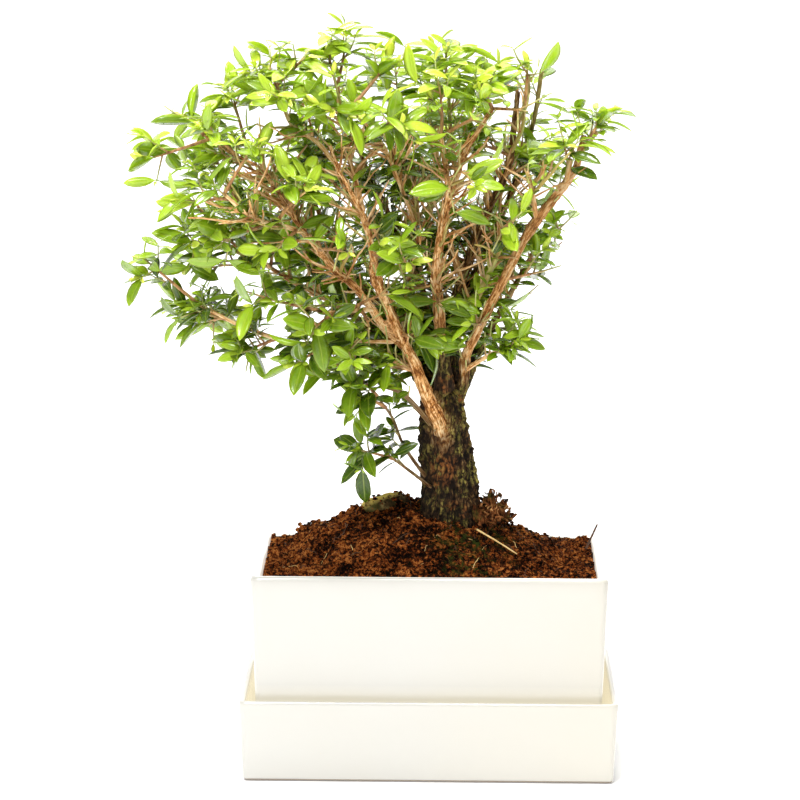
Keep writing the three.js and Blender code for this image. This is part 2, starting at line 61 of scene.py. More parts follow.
# The camera stands at the photograph's angle
view = {
    "target": Vector((-15.59, 0, 179.52)) * mm,
    "distance": 1993.7 * mm,
    "azimuth": math.radians(0.696),
    "elevation": math.radians(9.086),
    "roll": math.radians(0.34),
    "lens": 180,
    "film": 36,
    "farthest": 20,
}


def placeCamera():
    az, el, roll = view["azimuth"], view["elevation"], view["roll"]
    back = Vector((math.sin(az) * math.cos(el), -math.cos(az) * math.cos(el), math.sin(el)))
    side = Vector((math.cos(az), math.sin(az), 0))
    up = back.cross(side)
    right = side * math.cos(roll) + up * math.sin(roll)
    top = up * math.cos(roll) - side * math.sin(roll)
    data = bpy.data.cameras.new("camera")
    data.lens = view["lens"]
    data.sensor_width = view["film"]
    data.clip_end = view["farthest"]
    camera = bpy.data.objects.new("camera", data)
    turn = Matrix((right, top, back)).transposed().to_4x4()
    camera.matrix_world = Matrix.Translation(view["target"] + back * view["distance"]) @ turn
    bpy.context.scene.collection.objects.link(camera)
    bpy.context.scene.camera = camera


# Shader tools

class Wire:  # one output of a node, so that shader maths reads as plain maths
    def __init__(self, sheet, socket):
        self.sheet = sheet
        self.socket = socket

    def maths(self, operation, first, second=0.0):
        return self.sheet.add("ShaderNodeMath", {"operation": operation}, {0: first, 1: second})

    def __add__(self, other):
        return self.maths("ADD", self, other)

    def __radd__(self, other):
        return self.maths("ADD", other, self)

    def __sub__(self, other):
        return self.maths("SUBTRACT", self, other)

    def __rsub__(self, other):
        return self.maths("SUBTRACT", other, self)

    def __mul__(self, other):
        return self.maths("MULTIPLY", self, other)

    def __rmul__(self, other):
        return self.maths("MULTIPLY", other, self)

    def __truediv__(self, other):
        return self.maths("DIVIDE", self, other)

    def __abs__(self):
        return self.maths("ABSOLUTE", self)

    def sine(self):
        return self.maths("SINE", self)

    def clamped(self):
        return self.maths("MINIMUM", self.maths("MAXIMUM", self, 0.0), 1.0)

    def between(self, low, high):  # 0 below low, 1 above high
        return ((self - low) / (high - low)).clamped()


class Finish:  # one material and the sheet of nodes behind it
    def __init__(self, name):
        self.material = bpy.data.materials.new(name)
        self.material.use_nodes = True
        self.tree = self.material.node_tree
        self.tree.nodes.clear()

    def add(self, kind, settings=None, sockets=None, out=0):
        node = self.tree.nodes.new(kind)
        for name, value in (settings or {}).items():
            if name == "stops":
                ramp = node.color_ramp
                while len(ramp.elements) < len(value):
                    ramp.elements.new(0.5)
                for element, (place, colour) in zip(ramp.elements, value):
                    element.position = place
                    element.color = (*colour, 1)
            else:
                setattr(node, name, value)
        for name, value in (sockets or {}).items():
            if isinstance(value, Wire):
                self.tree.links.new(value.socket, node.inputs[name])
            elif value is not None:
                node.inputs[name].default_value = value
        return Wire(self, node.outputs[out])

    def place(self):  # where a point lies on the object, in metres
        return self.add("ShaderNodeTexCoord", out="Object")

    def coordinate(self, axis):  # X, Y or Z of that place
        return self.add("ShaderNodeSeparateXYZ", {}, {"Vector": self.place()}, axis)

    def mark(self, name, out="Fac"):  # a value or a vector that the mesh holds at its points
        return self.add("ShaderNodeAttribute", {"attribute_name": name}, out=out)

    def stretched(self, scale):
        return self.add("ShaderNodeMapping", {}, {"Vector": self.place(), "Scale": scale})

    def noise(self, scale, detail=4.0, rough=0.6, at=None):
        sockets = {"Vector": at or self.place(), "Scale": scale, "Detail": detail, "Roughness": rough}
        return self.add("ShaderNodeTexNoise", {}, sockets)

    def cells(self, scale, at=None, out="Distance"):
        return self.add("ShaderNodeTexVoronoi", {}, {"Vector": at or self.place(), "Scale": scale}, out)

    def ramp(self, fac, stops):
        return self.add("ShaderNodeValToRGB", {"stops": stops}, {"Fac": fac})

    def blend(self, fac, one, two):  # colours are the mix node's sockets 6 and 7, its result is number 2
        one, two = ((*c, 1) if isinstance(c, tuple) else c for c in (one, two))
        return self.add("ShaderNodeMix", {"data_type": "RGBA"}, {0: fac, 6: one, 7: two}, out=2)

    def bump(self, height, strength, distance):
        sockets = {"Height": height, "Strength": strength, "Distance": distance}
        return self.add("ShaderNodeBump", {}, sockets)

    def finish(self, **sockets):
        names = {name.replace("_", " "): value for name, value in sockets.items()}
        skin = self.add("ShaderNodeBsdfPrincipled", {}, names)
        end = self.tree.nodes.new("ShaderNodeOutputMaterial")
        self.tree.links.new(skin.socket, end.inputs["Surface"])
        return self.material


# Mesh tools

def setMarks(mesh, marks):  # numbers or vectors kept at the mesh's points for its material
    for mark, values in marks.items():
        values = np.asarray(values, np.float32)
        if values.ndim == 2:
            mesh.attributes.new(mark, "FLOAT_VECTOR", "POINT").data.foreach_set("vector", values.ravel())
        else:
            mesh.attributes.new(mark, "FLOAT", "POINT").data.foreach_set("value", values)


def makePiece(name, points, faces, skins, slot=None, marks=None, faceSkins=None, smooth=True):
    mesh = bpy.data.meshes.new(name)
    mesh.from_pydata([tuple(p) for p in points], [], faces)
    for skin in skins:
        mesh.materials.append(skin)
    if faceSkins is not None:
        mesh.polygons.foreach_set("material_index", faceSkins)
    setMarks(mesh, marks or {})
    mesh.polygons.foreach_set("use_smooth", [smooth] * len(mesh.polygons))
    mesh.update()
    piece = bpy.data.objects.new(name, mesh)
    bpy.context.scene.collection.objects.link(piece)
    if slot:
        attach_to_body(piece, "root")
    return piece


def ballMesh(subdivisions):
    ball = bmesh.new()
    bmesh.ops.create_icosphere(ball, subdivisions=subdivisions, radius=1)
    points = [vert.co.copy() for vert in ball.verts]
    faces = [tuple(v.index for v in face.verts) for face in ball.faces]
    ball.free()
    return points, faces


def sleeve(faces, start, rows, sides, mirrored=False):  # a closed skin over rows of points
    for row in range(rows - 1):
        a, b = start + row * sides, start + (row + 1) * sides
        for k in range(sides):
            m = (k + 1) % sides
            faces.append((a + m, a + k, b + k, b + m) if mirrored else (a + k, a + m, b + m, b + k))
    first = [start + k for k in range(sides)]
    last = [start + (rows - 1) * sides + k for k in range(sides)]
    faces.append(tuple(first if mirrored else reversed(first)))
    faces.append(tuple(reversed(last) if mirrored else last))


def bakeModifiers(piece):
    evaluated = piece.evaluated_get(bpy.context.evaluated_depsgraph_get())
    mesh = bpy.data.meshes.new_from_object(evaluated)
    old = piece.data
    piece.modifiers.clear()
    piece.data = mesh
    bpy.data.meshes.remove(old)


def clamp(value):
    return min(1, max(0, value))


def scaled(p, shape):
    return Vector((p.x * shape.x, p.y * shape.y, p.z * shape.z))


def seeded(seed, skip=0):  # a repeatable stream of numbers from 0 to 1
    multiplier, step, modulus = 1664525, 1013904223, 2 ** 32
    state = seed

    def draw():
        nonlocal state
        state = (state * multiplier + step) % modulus
        return state / modulus

    for _ in range(skip):
        draw()
    return draw


def squareTo(axis):
    reference = Vector((1, 0, 0)) if abs(axis.z) > 0.9 else Vector((0, 0, 1))
    side = axis.cross(reference).normalized()
    return side, axis.cross(side)


class Stem:  # a twig bent once between its foot and its tip
    def __init__(self, foot, bow, tip):
        self.foot, self.bow, self.tip = foot, bow, tip

    def at(self, t):
        return self.foot * (1 - t) ** 2 + self.bow * 2 * t * (1 - t) + self.tip * t * t

    def ahead(self, t):
        return ((self.bow - self.foot) * (1 - t) + (self.tip - self.bow) * t).normalized()


def grainAt(x, y, along):  # where the bark's pattern is read: it runs along the wood
    return Vector((x, y, along * 0.16)) * mm


def strand(points, faces, route, radii, sides, grain=None):  # a thin tube along a route
    start = len(points)
    last = len(route) - 1
    travelled = startOfGrain * route[0].x
    for i, at in enumerate(route):
        travelled += (at - route[i - 1]).length if i else 0
        ahead = (route[min(i + 1, last)] - route[max(i - 1, 0)]).normalized()
        side, across = squareTo(ahead)
        for k in range(sides):
            angle = 2 * math.pi * k / sides
            points.append((at + (side * math.cos(angle) + across * math.sin(angle)) * radii[i]) * mm)
            if grain is not None:
                grain.append(grainAt(math.cos(angle) * radii[i], math.sin(angle) * radii[i], travelled))
    sleeve(faces, start, len(route), sides)


# Ceramic ware: a saucer and the pot that stands in it, swept round a rounded rectangle

saucer = {
    "width": 186, "depth": 129, "low": 0, "high": 40, "taper": 2.2, "wall": 3.2, "floor": 3.7,
    "corner": 4.0, "edge": 1.3, "rim": 1.5,
}
pot = {
    "width": 175, "depth": 118, "low": 4, "high": 101, "taper": 3.8, "wall": 5.3, "floor": 6,
    "corner": 4.0, "edge": 1.6, "rim": 2.1, "drain": 14, "drainOffset": 38,
}
turned = {  # what both have in common
    "footInset": 3.0, "cove": 2.5, "sharpest": 1.2, "waviness": 0.12, "waveScale": 0.03,
    "wallSteps": 9, "bendSteps": 4, "rimSteps": 8, "cornerSteps": 8, "across": 26, "down": 18,
}
# bounce and inside are the colours of painted bounce light that the glaze gives off; bounceTop, bounceFade,
# rimFoot, rimFade and rimGlow set where and how strongly it glows
glaze = {
    "body": (0.55, 0.54, 0.506), "warm": (0.55, 0.512, 0.422), "bounce": (0.46, 0.415, 0.30),
    "inside": (0.92, 0.90, 0.82), "speck": (0.62, 0.52, 0.36), "footShadowRing": (0.16, 0.11, 0.06),
    "bounceTop": 47, "bounceFade": 12, "rimFoot": 86, "rimFade": 8, "rimGlow": 1.2,
}


def glazeSkin():
    sheet = Finish("whiteGlaze")
    gap = sheet.mark("gap")  # painted bounce light: 1 where the glaze glows in place of light bouncing between pot and saucer, or inside the pot's rim
    height, across = sheet.coordinate("Z"), sheet.coordinate("X")
    # painted shade: the glaze is clouded at random, and turns yellower and a little darker towards its
    # right side, which gets less light
    cloudsAndPaintedShade = sheet.noise(9, 3).between(0.35, 0.8) * 0.3 + across.between(0.0, 0.09) * 0.35
    colour = sheet.blend(cloudsAndPaintedShade.clamped(), glaze["body"], glaze["warm"])
    specks = sheet.cells(230).between(0.0, 0.05)
    colour = sheet.blend(1 - specks, colour, glaze["speck"])
    bare = 1 - height.between(0.0005, 0.0013)  # painted contact shadow: the foot's lowest edge is dark, like an unglazed ring
    colour = sheet.blend(bare, colour, glaze["footShadowRing"])
    ripple = sheet.noise(28, 2)
    skin = sheet.bump(ripple + sheet.noise(420, 2) * 0.08, 0.12, 0.002)
    # painted bounce light: a warm glow given off low in the gap and inside the rim
    light = sheet.blend(height.between(0.084, 0.09), glaze["bounce"], glaze["inside"])
    glow = sheet.blend(gap, (0.0, 0.0, 0.0), light)
    return sheet.finish(Base_Color=colour, Roughness=0.16 + sheet.noise(40, 3) * 0.12, Normal=skin,
                        Coat_Weight=0.5, Coat_Roughness=0.08, Emission_Color=glow, Emission_Strength=0.75)


def turns(first, whole, steps):  # the angles of an arc, in radians
    return [math.radians(first + whole * i / steps) for i in range(steps + 1)]


def roundedOutline(halfWidth, halfDepth, corner):
    points = []
    w, d = halfWidth - corner, halfDepth - corner
    down, across = turned["down"], turned["across"]
    for x, y, start, count, ahead in (
        (w, -d, -90, down, Vector((0, 1, 0))), (w, d, 0, across, Vector((-1, 0, 0))),
        (-w, d, 90, down, Vector((0, -1, 0))), (-w, -d, 180, across, Vector((1, 0, 0))),
    ):
        for angle in turns(start, 90, turned["cornerSteps"]):
            points.append(Vector((x + corner * math.cos(angle), y + corner * math.sin(angle), 0)))
        length = 2 * (d if ahead.y else w)
        for _ in range(1, count):
            points.append(points[-1] + ahead * (length / count))
    return points


def wareProfile(ware):  # inset from the outer outline and height, from the foot up, over and down inside
    high, low, wall, edge, rim = (ware[k] for k in ("high", "low", "wall", "edge", "rim"))
    lean = ware["taper"] / (high - low)
    floor, cove, steps = low + ware["floor"], turned["cove"], turned["wallSteps"]
    profile = [(edge + turned["footInset"] + ware["taper"], low)]
    for angle in reversed(turns(0, 90, turned["bendSteps"])):
        z = low + edge * (1 - math.sin(angle))
        profile.append((edge * (1 - math.cos(angle)) + lean * (high - z), z))
    for i in range(1, steps):
        z = low + edge + (high - rim - low - edge) * i / steps
        profile.append((lean * (high - z), z))
    for angle in turns(0, 180, turned["rimSteps"]):
        profile.append((wall / 2 - wall / 2 * math.cos(angle), high - rim + rim * math.sin(angle)))
    for i in range(1, steps):
        z = high - rim + (floor + cove - high + rim) * i / steps
        profile.append((wall + lean * (high - z), z))
    for angle in turns(0, 90, turned["bendSteps"]):
        z = floor + cove * (1 - math.sin(angle))
        profile.append((wall + lean * (high - z) + cove * (1 - math.cos(angle)), z))
    return profile


def drillDrains(piece, ware):  # the water holes through the floor
    drill = bmesh.new()
    radius, middle = ware["drain"] / 2 * mm, ware["low"] + ware["floor"] / 2
    for x in (-ware["drainOffset"], ware["drainOffset"]):
        place = Matrix.Translation(Vector((x, 0, middle)) * mm)
        bmesh.ops.create_cone(drill, cap_ends=True, segments=40, radius1=radius, radius2=radius,
                              depth=5 * ware["floor"] * mm, matrix=place)
    mesh = bpy.data.meshes.new("drill")
    drill.to_mesh(mesh)
    drill.free()
    tool = bpy.data.objects.new("drill", mesh)
    bpy.context.scene.collection.objects.link(tool)
    cut = piece.modifiers.new("drain", "BOOLEAN")
    cut.operation = "DIFFERENCE"
    cut.solver = "EXACT"
    cut.object = tool
    bakeModifiers(piece)
    bpy.data.objects.remove(tool)


def makeWare(name, node, ware, skin):
    points, faces, gap = [], [], []
    profile = wareProfile(ware)
    middle = max(range(len(profile)), key=lambda i: profile[i][1])
    for row, (inset, z) in enumerate(profile):
        # painted bounce light: how strongly each row glows, low on the walls that face each other and near
        # the top inside the pot
        facing = row < middle if node == "pot" else row > middle
        bounce = clamp((glaze["bounceTop"] - z) / glaze["bounceFade"])
        rimLight = clamp((z - glaze["rimFoot"]) / glaze["rimFade"]) * glaze["rimGlow"]
        corner = max(turned["sharpest"], ware["corner"] - inset * 0.7)
        outline = roundedOutline(ware["width"] / 2 - inset, ware["depth"] / 2 - inset, corner)
        gap += [bounce if facing else rimLight] * len(outline)
        for p in outline:
            swell = turned["waviness"] * noise.noise(Vector((p.x, p.y, z)) * turned["waveScale"])
            out = Vector((p.x, p.y, 0)).normalized()
            points.append((Vector((p.x, p.y, z)) - out * abs(swell)) * mm)
    sleeve(faces, 0, len(profile), len(outline))
    piece = makePiece(name, points, faces, [skin], "glaze", {"gap": gap})
    if "drain" in ware:
        drillDrains(piece, ware)
    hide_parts(node)


# Soil: a crumbly heap whose peak lies behind and left of the trunk

heap = {
    "edge": 100.2, "peak": 27, "x": -12, "y": 8, "left": 70, "right": 85, "front": 62, "back": 52,
    "roundness": 1.6, "cell": 0.78, "gap": 0.4, "lean": 0.9, "bottom": 12,
}
crumble = {  # heights and widths of what the surface is made of, and the loose crumbs on it
    "lump": 2.2, "clod": 4.0, "clodWidth": 5.2, "crumb": 1.6, "crumbWidth": 2.0, "grit": 0.6, "sink": 1.3,
    "count": 5200, "smallest": 0.45, "spread": 1.6, "knobblyFrom": 1.15, "margin": 1.5, "fibreMargin": 8,
}
litter = {
    "paleFibres": {"count": 26, "radius": 0.11, "slot": "straw"},
    "darkFibres": {"count": 70, "radius": 0.16, "slot": "bark"},
}
stone = {
    "x": -21.5, "y": 6, "z": 121, "halfWidth": 16, "halfDepth": 10.5, "halfHeight": 12, "tilt": 0.13,
    # edge is the pale colour of the upper left edge, laid on with painted light where the stone faces the
    # lamps above and to the left
    "moss": (0.09, 0.10, 0.02), "edge": (0.92, 0.70, 0.17), "litEdgeFacing": Vector((-0.4, 0.25, 0.88)),
}
soilHalfWidth = pot["width"] / 2 - pot["wall"] - heap["gap"]
soilHalfDepth = pot["depth"] / 2 - pot["wall"] - heap["gap"]


def heapHeight(x, y):
    across = (x - heap["x"]) / (heap["left"] if x < heap["x"] else heap["right"])
    along = (y - heap["y"]) / (heap["front"] if y < heap["y"] else heap["back"])
    away = min(1, math.hypot(across, along))
    return heap["edge"] + heap["peak"] * (1 - away ** heap["roundness"])


def soilTop(x, y):  # the heap with its lumps and crumbs, in mm
    lumps = crumble["lump"] * noise.fractal(Vector((x, y, 3)) * 0.08, 0.8, 2.1, 3)
    bent = Vector((x, y, 5)) + noise.noise_vector(Vector((x, y, 2)) * 0.3) * 2.4
    coarse = 0.5 + 0.9 * noise.noise(Vector((x, y, 31)) * 0.09)
    inClod, inCrumb = (noise.voronoi(bent / crumble[k])[0][0] for k in ("clodWidth", "crumbWidth"))
    clods = crumble["clod"] * coarse * max(0, 1 - inClod * 1.5)
    crumbs = crumble["crumb"] * (1 - 0.5 * coarse) * max(0, 1 - inCrumb * 1.3)
    grit = crumble["grit"] * noise.noise(Vector((x, y, 19)) * 0.9)
    return heapHeight(x, y) + lumps + clods + crumbs - crumble["sink"] + grit


def soilSkin():
    sheet = Finish("peatSoil")
    speck = sheet.noise(950, 6, 0.75)
    patch = sheet.noise(85, 3)
    crumb = sheet.cells(760, out="Color")
    crumbTone = sheet.add("ShaderNodeSeparateColor", {}, {"Color": crumb})
    where = sheet.coordinate("X")
    leftLighter = 1 - where.between(-0.075, -0.02)  # lighter and redder towards the left
    darkerAtTrunk = 1 - abs(where - 0.014).between(0.012, 0.05)  # darker at the trunk
    lump = sheet.noise(300, 3)
    tone = (speck - 0.5) * 1.4 + (lump - 0.5) * 0.7 + (patch - 0.5) * 0.8 + (crumbTone - 0.5) * 0.4
    tone = tone + 0.46 + leftLighter * 0.045 - darkerAtTrunk * 0.06
    colour = sheet.ramp(tone, [
        (0.30, (0.003, 0.001, 0.0005)), (0.41, (0.03, 0.007, 0.002)), (0.50, (0.125, 0.028, 0.006)),
        (0.60, (0.33, 0.080, 0.015)), (0.78, (0.64, 0.24, 0.06)),
    ])
    flecks = sheet.noise(2100, 2).between(0.63, 0.70) * sheet.noise(200, 2).between(0.4, 0.6)
    colour = sheet.blend(flecks * 0.7, colour, (0.66, 0.31, 0.12))
    green = sheet.noise(60, 3).between(0.5, 0.6) * sheet.noise(420, 3).between(0.45, 0.58)
    nearTrunk = 1 - abs(sheet.coordinate("X") - 0.022).between(0.0, 0.035)
    colour = sheet.blend(green * nearTrunk * 0.8, colour, (0.055, 0.075, 0.012))
    skin = sheet.bump(speck + sheet.noise(1500, 4) * 0.4, 1.0, 0.0016)
    return sheet.finish(Base_Color=colour, Roughness=0.95, Specular_IOR_Level=0.05, Normal=skin)


def makeSoilBed(skin):
    columns, rows = round(2 * soilHalfWidth / heap["cell"]), round(2 * soilHalfDepth / heap["cell"])
    points, faces = [], []
    for j in range(rows + 1):
        for i in range(columns + 1):
            x, y = soilHalfWidth * (2 * i / columns - 1), soilHalfDepth * (2 * j / rows - 1)
            points.append(Vector((x, y, soilTop(x, y))) * mm)
    width = columns + 1
    for j in range(rows):
        for i in range(columns):
            a = j * width + i
            faces.append((a, a + 1, a + width + 1, a + width))
    rim = [i for i in range(columns)] + [j * width + columns for j in range(rows)]
    rim += [rows * width + i for i in range(columns, 0, -1)] + [j * width for j in range(rows, 0, -1)]
    start = len(points)
    shrink = 1 - (pot["taper"] * heap["lean"]) / soilHalfWidth
    for index in rim:
        p = points[index]
        points.append(Vector((p.x * shrink, p.y * shrink, heap["bottom"] * mm)))
    for k in range(len(rim)):
        m = (k + 1) % len(rim)
        faces.append((rim[m], rim[k], start + k, start + m))
    faces.append(tuple(start + k for k in reversed(range(len(rim)))))
    bed = makePiece("soilBed", points, faces, [skin], "soil")
    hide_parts("soil")
    print("soil bed:", len(bed.data.polygons), "cells")


def spotInPot(draw, margin):
    x = (2 * draw() - 1) * (soilHalfWidth - margin)
    return x, (2 * draw() - 1) * (soilHalfDepth - margin)


def ground(x, y):  # what a crumb falls on: the heap, or the stone where that stands higher
    soil = soilTop(x, y)
    across, along = (x - stone["x"]) / stone["halfWidth"], (y - stone["y"]) / stone["halfDepth"]
    dome = math.sqrt(max(0, 1 - across * across - along * along)) * 0.95
    bare = dome > 0.6 and across < 0.2 and along > -0.5  # the stone's upper edge stays clean
    return soil if dome == 0 or bare else max(soil, stone["z"] + stone["halfHeight"] * dome)


clodPoints, clodFaces = ballMesh(2)
chunkPoints = [Vector(p) for p in ((1, 0, 0), (-1, 0, 0), (0, 1, 0), (0, -1, 0), (0, 0, 1), (0, 0, -1))]
chunkFaces = ((0, 2, 4), (2, 1, 4), (1, 3, 4), (3, 0, 4), (2, 0, 5), (1, 2, 5), (3, 1, 5), (0, 3, 5))


def clod(points, faces, at, size, draw):  # one larger crumb with a knobbly skin
    start = len(points)
    shape = Vector((1, 0.7 + 0.3 * draw(), 0.55 + 0.35 * draw())) * size
    seed = Vector((draw(), draw(), draw())) * 40
    for p in clodPoints:
        rough = 0.75 + 0.6 * noise.turbulence(p * 1.7 + seed, 2, False)
        points.append((at + scaled(p, shape) * rough) * mm)
    faces += [tuple(start + k for k in face) for face in clodFaces]


def chunk(points, faces, at, size, draw):  # one small crumb: a squashed, turned octahedron with a dent
    start = len(points)
    turn, axis = draw() * wholeTurn, Vector((draw() - 0.5, draw() - 0.5, draw() + 0.1)).normalized()
    turn = Matrix.Rotation(turn, 3, axis)
    shape = Vector((1, 0.55 + 0.5 * draw(), 0.4 + 0.45 * draw())) * size
    for p in chunkPoints:
        reach = 0.75 + 0.5 * draw()
        points.append((at + turn @ scaled(p, shape) * reach) * mm)
    faces += [tuple(start + k for k in face) for face in chunkFaces]


def makeCrumbs(skin, draw):
    points, faces = [], []
    for _ in range(crumble["count"]):
        x, y = spotInPot(draw, crumble["margin"])
        size = crumble["smallest"] + crumble["spread"] * draw() ** 5
        at = Vector((x, y, ground(x, y) + size * 0.25))
        kind = clod if size > crumble["knobblyFrom"] else chunk
        kind(points, faces, at, size, draw)
    makePiece("soilCrumbs", points, faces, [skin], "soil", smooth=False)


def makeFibres(name, skin, draw):  # fine roots that lie on the soil
    fibre = litter[name]
    points, faces, steps = [], [], 5
    for _ in range(fibre["count"]):
        x, y = spotInPot(draw, crumble["fibreMargin"])
        heading, length, bend = draw() * wholeTurn, 3 + 9 * draw() ** 2, (draw() - 0.5) * 0.9
        route = []
        for k in range(steps + 1):
            angle = heading + bend * k / steps
            x, y = x + math.cos(angle) * length / steps, y + math.sin(angle) * length / steps
            route.append(Vector((x, y, soilTop(x, y) + 0.3 + 0.6 * math.sin(math.pi * k / steps))))
        radius = fibre["radius"] * (0.7 + 0.9 * draw())
        strand(points, faces, route, [radius] * len(route), 5)
    makePiece(name, points, faces, [skin], fibre["slot"])


# A pale straw on the soil and a dark stick in it, each bent once

stalks = {
    "straw": {"foot": (23, -17.5, 117.6), "bow": (33, -22, 112.8), "tip": (43, -27, 107.2),
              "radius": 0.55, "slot": "straw"},
    "stick": {"foot": (77, 19, 97), "bow": (80.5, 21.5, 104.5), "tip": (84.5, 23, 113),
              "radius": 0.78, "slot": "bark"},
}
stalkKnots = {0.3: 0.22, 0.68: 0.18}  # where along a stalk, and how much it swells there


def stalkSkin(name, light, dark):
    sheet = Finish(name)
    streak = sheet.noise(900, 4, at=sheet.stretched((1, 1, 0.4)))
    colour = sheet.blend(streak.between(0.35, 0.65), light, dark)
    return sheet.finish(Base_Color=colour, Roughness=0.7, Normal=sheet.bump(streak, 0.5, 0.0006))


def makeStalk(node, skin):
    stalk, steps = stalks[node], 24
    stem = Stem(*(Vector(stalk[k]) for k in ("foot", "bow", "tip")))
    route, radii = [], []
    for t in (i / steps for i in range(steps + 1)):
        route.append(stem.at(t))
        knot = sum(swell * math.exp(-((t - place) / 0.03) ** 2) for place, swell in stalkKnots.items())
        radii.append(stalk["radius"] * (0.82 + knot + 0.08 * math.sin(17 * t) - 0.2 * t))
    points, faces = [], []
    strand(points, faces, route, radii, 10)
    piece = makePiece(node + "Stalk", points, faces, [skin], stalk["slot"])
    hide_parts(node)


def stoneSkin():
    sheet = Finish("mossyStone")
    grain = sheet.noise(260, 5)
    colour = sheet.ramp(grain * 0.7 + sheet.noise(50, 3) * 0.3, [
        (0.40, (0.018, 0.010, 0.004)), (0.5, (0.095, 0.060, 0.022)), (0.62, (0.34, 0.25, 0.10)),
    ])
    rim = sheet.mark("rim").between(0.5, 0.7)  # its upper left edge is clean and pale, with painted light where it faces the lamps
    colour = sheet.blend(sheet.noise(120, 3).between(0.52, 0.6) * 0.5, colour, stone["moss"])
    colour = sheet.blend(rim * sheet.noise(240, 3).between(0.33, 0.5) * 0.95, colour, stone["edge"])
    return sheet.finish(Base_Color=colour, Roughness=0.85, Specular_IOR_Level=0.1,
                        Normal=sheet.bump(grain, 0.8, 0.0015))


def makeStone(skin):
    ball, faces = ballMesh(5)
    turn = Matrix.Rotation(-stone["tilt"], 3, "Y")
    middle = Vector((stone["x"], stone["y"], stone["z"]))
    points, rim = [], []
    for p in ball:
        # painted light: how far each point faces up and left, towards the lamps
        rim.append(p.dot(stone["litEdgeFacing"]))
        dent = 0.93 + 0.07 * math.cos(3 * p.x + 2 * p.y + 4 * p.z)
        pits = 0.05 * noise.turbulence(p * 3.1, 4, False) + 0.04 * noise.turbulence(p * 11, 3, False) - 0.08
        shape = Vector((stone["halfWidth"], stone["halfDepth"], stone["halfHeight"])) * (dent + pits)
        points.append((turn @ scaled(p, shape) + middle) * mm)
    piece = makePiece("stoneBlock", points, faces, [skin], "stone", {"rim": rim})
    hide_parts("stone")
